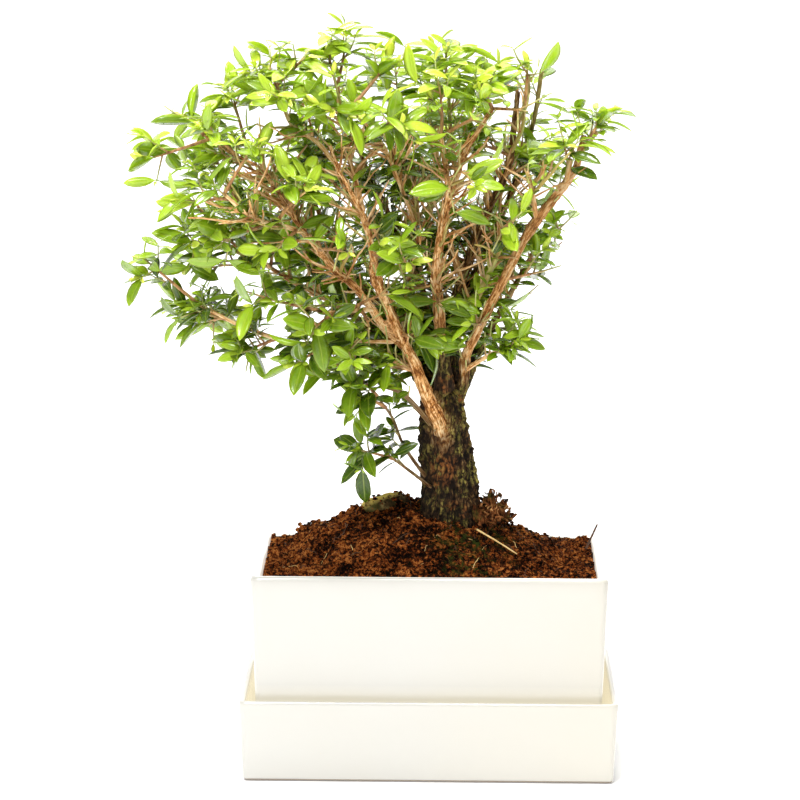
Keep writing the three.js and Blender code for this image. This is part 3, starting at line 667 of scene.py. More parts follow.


# The tree: each limb is a given route of x, y, z and radius in mm, the same as the solids follow

limbs = {
    "bole": [(9, 0, 88, 16.5), (9, 0, 110, 16.2), (9, 0, 135, 14), (7, 0, 160, 12.5), (5, 0, 187, 10.2)],
    "frontLimb": [(8, -5, 150, 5), (5, -9, 166, 5.2), (1, -11, 177, 4.9), (-3, -12, 186, 4.4),
                  (-8, -14, 199, 3.9), (-13, -16, 209, 3.6), (-18, -18, 220, 3.4), (-23, -19, 232, 3.3),
                  (-27, -20, 242, 4.1), (-29, -22, 250, 3)],
    "frontUpper": [(-27, -20, 242, 3), (-30, -24, 260, 2.5), (-34, -28, 275, 2.3), (-39, -30, 285, 2),
                   (-46, -33, 298, 1.8), (-50, -36, 310, 1.5)],
    "frontBack": [(-34, -28, 277, 1.8), (-37, -22, 289, 1.6), (-41, -15, 302, 1.5), (-45, -10, 320, 1.3),
                  (-47, -6, 337, 1.1)],
    "frontLeft": [(-48, -34, 302, 1.6), (-57, -34, 312, 1.4), (-68, -32, 319, 1.3), (-73, -28, 329, 1.2),
                  (-76, -24, 338, 1.1)],
    "leftLimb": [(-14, -15, 209, 3.2), (-23, -18, 218, 3), (-30, -22, 229, 2.8), (-39, -27, 241, 2.6),
                 (-47, -32, 248, 2.9), (-55, -36, 259, 2.2), (-64, -38, 270, 2.1), (-70, -38, 280, 1.8),
                 (-77, -36, 290, 1.6), (-83, -34, 298, 1.4), (-100, -28, 306, 1.2), (-112, -20, 313, 1.1)],
    "leftTwig": [(-63, -38, 268, 1.6), (-71, -44, 271, 1.5), (-81, -50, 274, 1.4), (-90, -54, 279, 1.3),
                 (-100, -56, 288, 1.1)],
    "leftInner": [(-50, -33, 252, 1.8), (-61, -22, 266, 1.6), (-70, -14, 278, 1.5), (-81, -4, 292, 1.3),
                  (-93, 4, 308, 1.1)],
    "lowLeft": [(-7, -13, 197, 2.2), (-28, -14, 201, 1.9), (-50, -18, 208, 1.7), (-70, -20, 211, 1.5),
                (-95, -16, 219, 1.3), (-115, -10, 228, 1.1)],
    "lowTwig": [(-29, -22, 228, 1.5), (-40, -36, 229, 1.3), (-50, -49, 230, 1.1)],
    "barePeg": [(-19, -16, 211, 1.3), (-35, -28, 213, 1.1), (-47, -37, 215, 1)],
    "middleTwig": [(-18, -17, 219, 1.8), (-16, -8, 231, 1.6), (-13, -4, 237, 1.9), (-8, 2, 252, 1.5),
                   (-7, 5, 264, 1.4), (-8, 8, 279, 1.3), (-10, 12, 293, 1.2), (-13, 16, 309, 1.1)],
    "innerLeft": [(-8, 5, 266, 1.3), (-16, -10, 288, 1.2), (-22, -20, 304, 1.2), (-27, -26, 313, 1.1),
                  (-40, -32, 328, 1)],
    "centreLimb": [(7, -3, 176, 4.6), (5, -7, 206, 4), (3, -10, 231, 3.6), (2, -11, 243, 3.6),
                   (4, -14, 262, 3.2), (7, -16, 279, 3), (11, -16, 291, 2.4), (14, -15, 301, 2.6),
                   (18, -14, 309, 2), (29, -10, 326, 1.7)],
    "centreTwig": [(7, -16, 280, 1.7), (7, -21, 290, 1.5), (6, -26, 302, 1.4), (4, -30, 314, 1.2)],
    "greenShoot": [(12, -15, 294, 1.4), (9, -9, 310, 1.3), (8, -4, 325, 1.2), (7, 0, 338, 1)],
    "rightDark": [(9, 4, 178, 5), (10, 7, 201, 4.2), (11, 10, 224, 3.8), (14, 12, 236, 3.6),
                  (18, 14, 247, 3.2), (24, 17, 265, 2.9), (31, 20, 280, 2.7), (38, 22, 295, 2.4),
                  (40, 24, 313, 2.2), (42, 25, 332, 1.9)],
    "rightBack": [(13, 11, 220, 2.8), (19, 22, 235, 2.6), (27, 34, 251, 2.4), (36, 44, 270, 2.2),
                  (44, 52, 292, 1.8), (49, 56, 312, 1.6)],
    "deadSpur": [(40, 23, 312, 1.8), (46, 29, 326, 1.7), (47, 31, 340, 1.6)],
    "backSpur": [(45, 52, 293, 1.6), (51, 42, 319, 1.5), (54, 36, 342, 1.4)],
    "paleStem": [(12, 4, 208, 2), (20, -3, 226, 1.9), (30, -10, 249, 1.7), (35, -16, 262, 1.5),
                 (43, -22, 281, 1.2)],
    "uprightShoot": [(39, 22, 302, 1.4), (44, 13, 314, 1.3), (45, 9, 326, 1.2), (46, 5, 340, 1)],
    "rightLimb": [(12, 0, 176, 4.4), (16, -3, 190, 3.7), (17, -6, 203, 3.4), (24, -10, 219, 3.2),
                  (35, -14, 242, 3.1), (44, -16, 260, 3), (51, -17, 272, 3.6), (59, -17, 282, 2.9),
                  (64, -17, 289, 3.1), (70, -16, 298, 2.5), (72, -15, 306, 2.4), (74, -14, 314, 2.1)],
    "rightPeg": [(65, -17, 289, 1.7), (66, -21, 296, 1.5), (67, -24, 303, 1.3)],
    "rightTwig": [(51, -17, 272, 1.7), (49, -25, 285, 1.5), (46, -31, 297, 1.2)],
    "rightEnd": [(71, -15, 304, 1.4), (77, -10, 310, 1.2), (80, -7, 315, 1.1)],
    "footTwig": [(0, -4, 138, 2), (-13, -13, 158, 1.6), (-19, -17, 173, 1.3), (-26, -22, 184, 1.1)],
    "frontTwig": [(2, -6, 166, 1.8), (-13, -20, 185, 1.5), (-24, -28, 191, 1.2)],
    "suckerTwig": [(1, -6, 136, 1.7), (-14, -20, 150, 1.4), (-22, -27, 157, 1.2)],
    "sideTwig": [(16, -3, 195, 1.7), (24, -15, 202, 1.4), (31, -21, 207, 1.2)],
    "backLeft": [(4, 4, 176, 4.4), (-6, 14, 196, 3.9), (-22, 28, 216, 3.2), (-38, 42, 236, 2.6),
                 (-52, 54, 256, 2), (-62, 60, 274, 1.6)],
    "backLeftTwig": [(-37, 41, 235, 2), (-58, 46, 246, 1.7), (-82, 46, 258, 1.4), (-98, 42, 272, 1.1)],
    "backCentre": [(8, 5, 178, 4), (8, 20, 206, 3.4), (1, 36, 232, 2.8), (-6, 48, 258, 2.2),
                   (-12, 56, 284, 1.8), (-14, 60, 304, 1.4)],
    "backCentreTwig": [(3, 33, 228, 1.8), (10, 52, 248, 1.5), (18, 66, 264, 1.2)],
    "backRight": [(12, 5, 180, 3.8), (22, 16, 200, 3.2), (34, 28, 220, 2.4), (46, 40, 240, 1.8),
                  (54, 46, 256, 1.4)],
    "heart": [(7, 2, 182, 3.8), (1, 10, 210, 3), (-8, 20, 240, 2.4), (-22, 26, 270, 1.9),
              (-36, 28, 298, 1.5), (-48, 28, 320, 1.2)],
    "heartUpper": [(-7, 19, 237, 1.8), (-2, 32, 266, 1.6), (2, 36, 290, 1.4), (1, 34, 314, 1.1)],
    "farLeft": [(0, 6, 184, 3.4), (-18, 14, 203, 2.8), (-44, 20, 222, 2.3), (-74, 24, 238, 1.9),
                (-102, 24, 256, 1.4), (-118, 20, 274, 1.1)],
}
kinds = {  # limbs that are made or dressed alike
    "slenderFoot": ("frontLimb", "rightLimb", "leftLimb", "barePeg"),
    "thinnest": ("footTwig", "suckerTwig"),
    "suckers": ("footTwig", "suckerTwig", "frontTwig"),
    "green": ("greenShoot", "paleStem", "uprightShoot"),
    "dead": ("deadSpur", "backSpur"),
    "noTwigs": ("rightLimb", "rightEnd", "rightPeg", "deadSpur", "backSpur"),
    "noLeaves": ("barePeg", "deadSpur", "rightPeg"),
}
bark = {
    "ridges": 7, "ridgeDepth": 0.075, "fineRidges": 4, "fineDepth": 0.045, "pitch": 21,
    "voxel": 0.72, "thin": 2.2, "slender": 0.8, "stoutFoot": 0.5, "stoutTop": 210, "stoutFade": 20,
    "boleRows": 200, "boleSides": 180, "domeFrom": 0.955, "domeLength": 0.045,
    "fillet": 1.1, "filletReach": 4.5, "tanReach": 2.4, "tanFoot": 148, "tanFade": 12,
    "plate": 1.0, "plateWide": 3.1, "plateTall": 15, "scale": 0.35, "scaleWide": 1.25, "scaleTall": 3.8,
    "rough": 1.1, "flake": 0.34, "flakeWide": 1.2, "flakeTall": 8.5,
    "greenest": 0.35, "greenFrom": 285, "greenFade": 50, "sucker": 0.66,
    "scar": (0.005, -0.014, 0.147),  # in metres: where the front limb leaves the bole
}
crownRoot = Vector((8, 0, 185))


class Limb:  # a smooth curve through a route, with a radius along it
    def __init__(self, name, route):
        self.name = name
        self.points = [Vector(p[:3]) for p in route]
        self.radii = [p[3] for p in route]
        self.spans = len(route) - 1
        self.stoutest = max(self.radii)
        self.length = sum((self.points[i + 1] - self.points[i]).length for i in range(self.spans))

    def at(self, t):
        p, last = self.points, self.spans
        place = self.spans * t
        i = min(int(place), last - 1)
        w = place - i
        before = p[i - 1] if i > 0 else p[0] * 2 - p[1]
        after = p[i + 2] if i + 2 <= last else p[last] * 2 - p[last - 1]
        one, two = p[i], p[i + 1]
        leave, arrive = (two - before) * 0.5, (after - one) * 0.5
        square = (two - one) * 3 - leave * 2 - arrive
        cube = (one - two) * 2 + leave + arrive
        return one + leave * w + square * w * w + cube * w * w * w

    def aheadAt(self, t):
        return (self.at(min(1, t + 0.004)) - self.at(max(0, t - 0.004))).normalized()

    def frameAt(self, t):
        ahead = self.aheadAt(t)
        side = ahead.cross(Vector((0.3, 1, 0.1))).normalized()
        return side, side.cross(ahead)

    def radius(self, t):
        place = min(t * self.spans, self.spans - 1e-9)
        i = int(place)
        return self.radii[i] + (self.radii[i + 1] - self.radii[i]) * (place - i)

    def travelled(self, t):  # where the bark's pattern has come to
        return t * self.length + startOfGrain * self.points[0].x

    def isStout(self):
        return self.stoutest > bark["thin"]


tree = [Limb(name, route) for name, route in limbs.items()]


def barkSkin():
    sheet = Finish("serissaBark")
    old, young, crack = sheet.mark("old"), sheet.mark("young"), sheet.mark("crack")
    along = sheet.mark("grain", out="Vector")
    streak = sheet.noise(780, 5, 0.65, at=along)
    fleck = sheet.noise(1500, 3, 0.7, at=along)
    patch = sheet.noise(75, 3)
    tone = streak * 0.42 + fleck * 0.3 + patch * 0.18 + crack * 0.12
    tan = sheet.ramp(tone, [
        (0.42, (0.17, 0.052, 0.012)), (0.48, (0.44, 0.17, 0.042)), (0.53, (0.80, 0.43, 0.16)),
        (0.60, (1.0, 0.75, 0.43)),
    ])
    dark = sheet.ramp(tone, [
        (0.42, (0.003, 0.002, 0.001)), (0.49, (0.018, 0.009, 0.004)), (0.56, (0.075, 0.038, 0.014)),
        (0.66, (0.34, 0.20, 0.08)),
    ])
    across = sheet.coordinate("X")
    tan = sheet.blend(across.between(0.022, 0.05) * 0.5, tan, (0.27, 0.135, 0.045))  # painted shade: darker and browner at the right, where less light falls
    right = across.between(0.0, 0.022)
    # painted shade: the dark bark is darkened on the left of the bole, the right side being the lit one
    dark = sheet.blend((1 - right) * 0.45, dark, (0.008, 0.005, 0.003))
    moss = sheet.noise(70, 3).between(0.44, 0.54) * sheet.noise(600, 3).between(0.42, 0.54)
    moss = moss * (0.45 + right * 0.55) * (1 - across.between(0.023, 0.029) * 0.8)
    mossy = sheet.blend(streak.between(0.44, 0.58), (0.022, 0.02, 0.004), (0.36, 0.30, 0.07))
    dark = sheet.blend(moss, dark, mossy)
    scar = sheet.add("ShaderNodeVectorMath", {"operation": "DISTANCE"},
                     {0: sheet.place(), 1: bark["scar"]}, out="Value")
    rust = ((1 - scar.between(0.003, 0.011)) + sheet.noise(90, 3).between(0.60, 0.68)).clamped()
    rusty = rust * sheet.noise(500, 3).between(0.42, 0.55) * crack
    dark = sheet.blend(rusty * 0.8, dark, (0.40, 0.135, 0.035))
    colour = sheet.blend(old, tan, dark)
    # dark inner bark in the cracks between plates, with painted shade in these recesses, more so on old
    # bark
    colour = sheet.blend((1 - crack.between(0.0, 0.35)) * (0.6 + old * 0.25), colour, (0.008, 0.004, 0.002))
    fresh = sheet.blend(streak.between(0.4, 0.6), (0.44, 0.34, 0.10), (0.42, 0.50, 0.12))
    colour = sheet.blend(young, colour, fresh)
    relief = streak + fleck * 0.5
    return sheet.finish(Base_Color=colour, Roughness=0.8, Specular_IOR_Level=0.15,
                        Normal=sheet.bump(relief, 0.9, 0.0009))


def tubeAlong(points, faces, limb, sides, step, relief, grain=None):  # relief scales the radius
    steps = max(4, round(limb.length / step))
    start = len(points)
    for i in range(steps + 1):
        t = i / steps
        at = limb.at(t)
        side, across = limb.frameAt(t)
        for k in range(sides):
            angle = 2 * math.pi * k / sides
            x, y = math.cos(angle), math.sin(angle)
            radius = limb.radius(t) * relief(t, angle, at)
            points.append((at + (side * x + across * y) * radius) * mm)
            if grain is not None:
                grain.append(grainAt(x * radius, y * radius, limb.travelled(t)))
    sleeve(faces, start, steps + 1, sides, mirrored=True)


def boleRelief(t, angle, at):
    wave = at.z / bark["pitch"]
    return (1 + bark["ridgeDepth"] * math.cos(bark["ridges"] * angle + 1.2 * math.sin(wave))
            + bark["fineDepth"] * math.cos(bark["fineRidges"] * angle - wave))


def limbRelief(t, angle, at):
    lump = noise.noise(at * 0.16 + Vector((math.cos(angle), math.sin(angle), 0)))
    knot = max(0, noise.noise(at * 0.11) - 0.25) * 0.5
    return bark["slender"] * (1 + 0.08 * lump + knot)


def stoutRelief(t, angle, at):  # for the limbs that leave the bole in one mass
    foot = clamp((bark["stoutTop"] - at.z) / bark["stoutFade"])
    return limbRelief(t, angle, at) * (1 + bark["stoutFoot"] * foot)


def suckerRelief(t, angle, at):
    return bark["sucker"] * limbRelief(t, angle, at)


def plates(p, wide, tall):  # 0 in the crack between two bark plates, 1 on a plate
    near = noise.voronoi(Vector((p.x / wide, p.y / wide, p.z / tall)))[0]
    return min(1, (near[1] - near[0]) * 2.4)


def makeBole(skin):  # the thick dark foot of the trunk, in deep plates, which swells where a limb leaves it
    bole, front = tree[0], tree[1]
    joins = [(front.at(i / 40), front.radius(i / 40) * bark["slender"]) for i in range(14)]
    rows, sides = bark["boleRows"], bark["boleSides"]
    points, faces, crack, grain, old = [], [], [], [], []
    for i in range(rows + 1):
        t = i / rows
        at = bole.at(t)
        dome = math.sqrt(max(0.05, 1 - max(0, (t - bark["domeFrom"]) / bark["domeLength"]) ** 2))
        for k in range(sides):
            angle = 2 * math.pi * k / sides
            away = Vector((math.cos(angle), math.sin(angle), 0))
            p = at + away * bole.radius(t) * boleRelief(t, angle, at)
            bent = p + noise.noise_vector(p * 0.14) * 2.6
            plate = plates(bent, bark["plateWide"], bark["plateTall"])
            scale = plates(bent + Vector((60, 0, 0)), bark["scaleWide"], bark["scaleTall"])
            rough = noise.turbulence(Vector((p.x, p.y, p.z * 0.5)) * 0.7, 3, False)
            push = (bark["plate"] * (plate ** 0.7 - 0.8) + bark["scale"] * (scale - 0.6)
                    + bark["rough"] * (rough - 0.45))
            gap = max(0, min((p - spot).length - radius for spot, radius in joins))
            push += bark["fillet"] * math.exp(-(gap / bark["filletReach"]) ** 2)
            points.append(((p - at + away * push) * dome + at) * mm)
            crack.append(min(plate * 1.3, 0.35 + 0.65 * scale))
            tanned = clamp((p.z - bark["tanFoot"]) / bark["tanFade"])
            tanned *= math.exp(-(gap / bark["tanReach"]) ** 2)
            old.append(1 - 0.4 * tanned * (0.6 + 0.4 * rough))
            grain.append(Vector((p.x, p.y, p.z * 0.3)) * mm)
    sleeve(faces, 0, rows + 1, sides)
    marks = {"crack": crack, "grain": grain, "old": old, "young": [0] * len(points)}
    piece = makePiece("bole", points, faces, [skin], "bark", marks)
    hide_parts("trunk")


# Old roots and bark chips heaped against the trunk's right foot

rootHeap = {
    "x": 31, "y": -1, "z": 117, "halfWidth": 9.5, "halfDepth": 10, "height": 17, "chips": 130, "roots": 50,
}
mound = {"x": 25, "y": -1, "z": 111, "halfWidth": 10.5, "halfDepth": 11, "halfHeight": 15.5}
chipRing = ((-1, 1), (0.2, 1.2), (1, 1), (1, -1), (-0.1, -0.8), (-1, -1))


def chipSkin():
    sheet = Finish("rootChips")
    streak = sheet.noise(420, 5, 0.65, at=sheet.mark("grain", out="Vector"))
    tone = streak * 0.5 + sheet.noise(110, 2) * 0.35 + sheet.mark("old") * -0.13 + 0.15
    colour = sheet.ramp(tone, [
        (0.41, (0.010, 0.004, 0.001)), (0.48, (0.07, 0.021, 0.006)), (0.55, (0.25, 0.083, 0.024)),
        (0.62, (0.66, 0.34, 0.13)),
    ])
    moss = sheet.mark("old") * sheet.noise(150, 3).between(0.5, 0.6)
    colour = sheet.blend(moss * 0.35, colour, (0.10, 0.11, 0.02))
    return sheet.finish(Base_Color=colour, Roughness=0.85, Specular_IOR_Level=0.1,
                        Normal=sheet.bump(streak, 0.8, 0.0009))


def chip(points, faces, grain, at, heading, length, index, draw):  # a bent flake of bark
    start, steps = len(points), 4
    side, across = squareTo(heading)
    wide, thick = 0.4 + 0.8 * draw(), 0.25 + 0.3 * draw()
    tilt = draw() * math.pi
    flat = side * math.cos(tilt) + across * math.sin(tilt)
    up = heading.cross(flat)
    for j in range(steps + 1):
        f = j / steps
        spot = at + heading * length * (f - 0.5) + up * 0.9 * math.sin(math.pi * f)
        w = wide * (0.55 + 0.45 * math.sin(math.pi * (0.15 + 0.7 * f))) * (0.8 + 0.4 * draw())
        for a, b in chipRing:
            points.append((spot + flat * a * w + up * b * thick * 0.5) * mm)
            grain.append(grainAt(a * w, b * thick, f * length + 31 * index))
    sleeve(faces, start, steps + 1, len(chipRing))


def rootlet(points, faces, grain, at, heading, length, index, draw):  # a thin winding root
    steps = 6
    side, across = squareTo(heading)
    route = [at + heading * length * (k / steps - 0.5) + side * math.sin(k * 1.2 + index) * 0.7
             + across * math.cos(k * 0.8 + index) * 0.6 for k in range(steps + 1)]
    radius = 0.2 + 0.3 * draw()
    strand(points, faces, route, [radius * (0.8 + 0.3 * draw()) for _ in route], 7, grain)


def makeRootHeap(skin):
    draw = seeded(77)
    points, grain = [], []
    ball, faces = ballMesh(5)
    for p in ball:
        rough = 0.86 + 0.5 * noise.turbulence(p * 2.6, 4, False)
        spot = Vector((mound["x"] + mound["halfWidth"] * rough * p.x,
                       mound["y"] + mound["halfDepth"] * rough * p.y,
                       mound["z"] + mound["halfHeight"] * rough * p.z))
        points.append(spot * mm)
        grain.append(Vector((spot.x, spot.y, spot.z * 0.5)) * mm)
    old = [1] * len(points)
    for i in range(rootHeap["chips"] + rootHeap["roots"]):
        angle, reach = draw() * 2 * math.pi, draw() ** 0.55
        rise = rootHeap["height"] * (1 - 0.75 * reach ** 2) * (0.25 + 0.75 * draw())
        at = Vector((rootHeap["x"] + rootHeap["halfWidth"] * reach * math.cos(angle),
                     rootHeap["y"] + rootHeap["halfDepth"] * reach * math.sin(angle), rootHeap["z"] + rise))
        heading = Vector((draw() - 0.25, (draw() - 0.5) * 1.4, (draw() - 0.55) * 1.5)).normalized()
        length = 2.5 + 6 * draw() ** 1.5
        before = len(points)
        kind = chip if i < rootHeap["chips"] else rootlet
        kind(points, faces, grain, at, heading, length, i, draw)
        old += [0.95 if draw() < 0.4 else 0.3 + 0.5 * draw()] * (len(points) - before)
    marks = {"grain": grain, "old": old, "young": [0] * len(points), "crack": [0.8] * len(points)}
    piece = makePiece("rootHeap", points, faces, [skin], "bark", marks)
    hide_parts("trunk")


# Limbs: how dark the bark of the back ones is, and where that of the front ones turns old and dark:
# below the first height, over the second number of mm

darkLimbs = {
    "rightDark": 0.75, "rightBack": 0.75, "deadSpur": 0.8, "backSpur": 0.7, "backLeft": 0.45,
    "backCentre": 0.55, "backRight": 0.5, "heart": 0.5, "farLeft": 0.35,
}
oldReach = {"frontLimb": (174, 20), "rightLimb": (206, 18), "leftLimb": (190, 10), "others": (220, 16)}


def nearestSamples(places, samples, batch=4000):  # which sample's bark each place lies on
    centres = np.array([limb.at(t)[:] for limb, t in samples])
    radii = np.array([limb.radius(t) for limb, t in samples])
    owner = np.empty(len(places), int)
    for i in range(0, len(places), batch):
        gap = np.linalg.norm(places[i:i + batch, None, :] - centres[None], axis=2) - radii
        owner[i:i + batch] = gap.argmin(axis=1)
    return owner


def makeLimbs(skin):  # the stouter limbs grown into one skin, with bark that peels along them
    points, faces = [], []
    stout = [limb for limb in tree[1:] if limb.isStout()]
    for limb in stout:
        relief = limbRelief if limb.name in kinds["slenderFoot"] else stoutRelief
        tubeAlong(points, faces, limb, 20, 1.0, relief)
    limbsPiece = makePiece("limbs", points, faces, [skin], "bark")
    remesh = limbsPiece.modifiers.new("skin", "REMESH")
    remesh.mode = "VOXEL"
    remesh.voxel_size = bark["voxel"] * mm
    remesh.use_smooth_shade = True
    smooth = limbsPiece.modifiers.new("smooth", "SMOOTH")
    smooth.factor = 0.5
    smooth.iterations = 1
    bakeModifiers(limbsPiece)

    samples = [(limb, i / (limb.spans * 8)) for limb in stout for i in range(limb.spans * 8 + 1)]
    frames = [(limb.at(t), *limb.frameAt(t), limb.aheadAt(t), limb.travelled(t)) for limb, t in samples]
    mesh = limbsPiece.data
    count = len(mesh.vertices)
    place = np.empty(count * 3, np.float32)
    mesh.vertices.foreach_get("co", place)
    place = place.reshape(-1, 3)
    owner = nearestSamples(place / mm, samples)
    old, crack, grain, moved = [], [], [], np.zeros((count, 3))
    for index, vert in enumerate(mesh.vertices):
        p = vert.co / mm
        limb, t = samples[owner[index]]
        centre, side, across, ahead, travelled = frames[owner[index]]
        run = p - centre
        x, y, along = run.dot(side), run.dot(across), travelled + run.dot(ahead)
        top, fade = oldReach.get(limb.name, oldReach["others"])
        foot = clamp((top - p.z + 9 * noise.noise(Vector((x, y, along * 0.2)) * 0.9)) / fade)
        old.append(max(foot, darkLimbs.get(limb.name, 0)))
        bent = Vector((x, y, along)) + noise.noise_vector(p * 0.2) * 0.8
        peel = plates(bent, bark["flakeWide"], bark["flakeTall"])
        crack.append(0.12 + 0.88 * peel)
        grain.append(grainAt(x, y, along))
        lump = noise.turbulence(Vector((x, y, along * 0.3)) * 0.8, 3, False)
        moved[index] = vert.normal * (bark["flake"] * (peel - 0.75) + 0.35 * (lump - 0.4)) * mm
    mesh.vertices.foreach_set("co", (place + moved).ravel())
    setMarks(mesh, {"old": old, "crack": crack, "grain": grain, "young": [0] * count})
    mesh.update()
    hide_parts("trunk")
    print("limbs:", count, "points")


def makeThinLimbs(skin):  # shoots turn greener towards the top of the crown
    points, faces, young, old, grain = [], [], [], [], []
    for limb in tree:
        if limb.isStout():
            continue
        before = len(points)
        relief = suckerRelief if limb.name in kinds["thinnest"] else limbRelief
        tubeAlong(points, faces, limb, 10, 1.1, relief, grain)
        if limb.name in kinds["green"]:
            young += [0.75] * (len(points) - before)
        else:
            young += [bark["greenest"] * clamp((p.z / mm - bark["greenFrom"]) / bark["greenFade"])
                      for p in points[before:]]
        dull = 0.78 if limb.name in kinds["suckers"] + kinds["dead"] else 0.0
        old += [dull] * (len(points) - before)
    marks = {"young": young, "old": old, "grain": grain, "crack": [0.8] * len(points)}
    twigs = makePiece("limbTwigs", points, faces, [skin], "bark", marks)
    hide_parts("trunk")


# Bare brown twigs that fill the crown between the limbs

twiglets = {
    "count": 560, "shortest": 10, "longest": 36, "radius": 0.85, "kink": 0.26, "knotEvery": 6,
    "from": 0.22, "span": 0.6, "ahead": 0.4, "up": 0.45, "low": 206, "top": 334, "carrierTop": 235,
}
boxLow, boxHigh = (Vector(corner) / mm for corner in cadBox)


def inBox(points, margin):
    return all(boxLow[k] + margin <= p[k] <= boxHigh[k] - margin for p in points for k in range(3))


def makeTwiglets(skin):
    draw = seeded(311)
    carriers = [limb for limb in tree[1:]
                if limb.points[-1].z > twiglets["carrierTop"] and limb.name not in kinds["noTwigs"]
                for _ in range(limb.spans)]  # a longer limb carries more of them
    points, faces, young, old, grain = [], [], [], [], []
    for _ in range(twiglets["count"]):
        limb = carriers[int(draw() * len(carriers))]
        t = twiglets["from"] + twiglets["span"] * draw()
        foot, ahead = limb.at(t), limb.aheadAt(t)
        side, across = squareTo(ahead)
        angle = draw() * 2 * math.pi
        heading = (ahead * twiglets["ahead"] + (side * math.cos(angle) + across * math.sin(angle))
                   + Vector((0, 0, twiglets["up"])))
        heading.normalize()
        length = twiglets["shortest"] + (twiglets["longest"] - twiglets["shortest"]) * draw() ** 1.6
        radius = min(twiglets["radius"] * (0.6 + 0.6 * draw()), limb.radius(t) * 0.7)
        route, knots = [foot], max(3, round(length / twiglets["knotEvery"]))
        for _ in range(knots):
            heading = heading + Vector((draw() - 0.5, draw() - 0.5, draw() - 0.4)) * 2 * twiglets["kink"]
            heading.normalize()
            route.append(route[-1] + heading * (length / knots))
        if not inBox(route, 2) or route[-1].z > twiglets["top"] or foot.z < twiglets["low"]:
            continue
        radii = [radius * (1 - 0.55 * k / knots) for k in range(knots + 1)]
        fresh = 0.0 if draw() < 0.75 else 0.7
        before = len(points)
        strand(points, faces, route, radii, 6, grain)
        if knots > 3:  # the longer ones carry a spur
            spur = route[2]
            tip = spur + (heading + side * (draw() - 0.5) * 3).normalized() * length * 0.3
            strand(points, faces, [spur, spur.lerp(tip, 0.5), tip],
                   [radius * 0.6, radius * 0.5, radius * 0.35], 6, grain)
        young += [fresh] * (len(points) - before)
        old += [0.12 * draw()] * (len(points) - before)
    marks = {"young": young, "old": old, "grain": grain, "crack": [0.75] * len(points)}
    makePiece("bareTwigs", points, faces, [skin], "bark", marks)


# Leafy sprays, grown by the same rule as the solids and then filled out with more shoots

frontTips = [
    (-43, -5, 360), (-80, -25, 346), (-100, 10, 332), (6, -10, 353), (-19, 25, 343), (24, 30, 340),
    (46, 0, 346), (84, -6, 322), (64, -28, 310), (57, 25, 295), (-140, -10, 300), (-141, -22, 252),
    (-121, -10, 226), (-117, -48, 282), (-120, 0, 320), (-112, 18, 214), (-94, -15, 204), (-90, -55, 241),
    (-66, -44, 204), (-40, -52, 212), (-34, -36, 186), (-34, -36, 160), (-2, -46, 214),
    (40, -28, 211), (56, -8, 246), (33, -42, 270), (8, -56, 290), (-16, -54, 321),
    (-87, -58, 310), (-58, -68, 292), (-40, -72, 262), (-10, -60, 256), (23, -42, 326),
]
backDome = {
    "count": 14, "x": -30, "y": 4, "z": 277, "halfWidth": 98, "halfDepth": 88, "halfHeight": 66,
    "reach": 0.84,
}
attach = {"shortest": 20, "drop": 12}
foliage = {
    "young": 9, "old": 20, "footRadius": 1.05, "tipRadius": 0.42, "shootFoot": 0.546, "shootTip": 0.336,
    "upright": 0.75, "level": 0.5, "levelBelow": 0.3, "lowest": 190, "hanging": 0.8,
    "widthToLength": 0.186, "thickness": 0.26, "arch": 0.24, "fold": 0.24, "towardsLight": 1.0,
    "small": 8.5, "smallest": 2.5, "shade": 0.22, "lowShade": 0.42, "shadeFoot": 150, "shadeHeight": 190,
    "clearOfLimb": 4.4,
}
moreShoots = {  # what only the finer sprays carry; beyond the edges they carry fewer, with larger leaves
    "places": (0.2, 0.32, 0.43, 0.53, 0.62, 0.71, 0.8, 0.9), "lowPlaces": (0.45, 0.75), "lowTip": 200,
    "shortest": 8, "spread": 11, "fourPairsFrom": 13, "lush": 1.15,
    "edgeWidth": 82, "edgeTop": 325, "edgeFront": -35,
    # leaf pairs: place along the shoot, lean and leaf length
    "pairs": ((1.0, 0.4, 7), (0.93, 0.85, 13), (0.66, 1.1, 16), (0.36, 1.2, 13)),
}


# Sprigs between the others, which only the finer model carries
fillTips = [
    (-105, -35, 262), (-104, -22, 302), (-72, -48, 334), (-62, -30, 352), (-57, -62, 223), (-30, -48, 222),
    (-25, -62, 265), (-48, -56, 329), (18, -50, 296), (46, -24, 326), (-120, 4, 256),
    (2, -32, 342), (-22, -20, 350), (-74, -58, 262), (-70, -52, 292), (-20, -54, 240),
    (24, -26, 340), (-84, -8, 334), (-112, -36, 318), (2, -38, 232), (22, -30, 222), (-52, -10, 352),
    (-38, -30, 198), (-24, -22, 204), (-50, -8, 194), (-20, 2, 200), (-34, 22, 204), (-8, 16, 212),
    (-60, 10, 250), (-28, 22, 262), (2, 27, 252), (22, 30, 264), (-80, 12, 262), (34, 22, 250),
    (-16, 12, 300), (-56, 6, 300), (20, 22, 306), (-36, 36, 286), (-48, 28, 232), (16, 8, 214),
    (-14, -6, 226), (26, 10, 232),
]


def sprayTips():
    tips = [Vector(p) for p in frontTips]
    for i in range(backDome["count"]):
        facing = 1 - backDome["reach"] * (i + 0.5) / backDome["count"]
        ring = math.sqrt(1 - facing * facing)
        tips.append(Vector((
            backDome["x"] + backDome["halfWidth"] * ring * math.cos(i * goldenAngle),
            backDome["y"] + backDome["halfDepth"] * facing,
            backDome["z"] + backDome["halfHeight"] * ring * math.sin(i * goldenAngle),
        )))
    return tips


def limbSpot(tip):
    best = None
    for limb in tree[1:]:
        for i in range(2, limb.spans * 4 + 1):
            t = i / (limb.spans * 4)
            spot = limb.at(t)
            run = tip - spot
            outwards = run.dot(spot - crownRoot) > 0
            if run.length > attach["shortest"] and spot.z < tip.z + attach["drop"] and outwards:
                if best is None or run.length < best[1]:
                    best = (spot, run.length)
    return best[0]


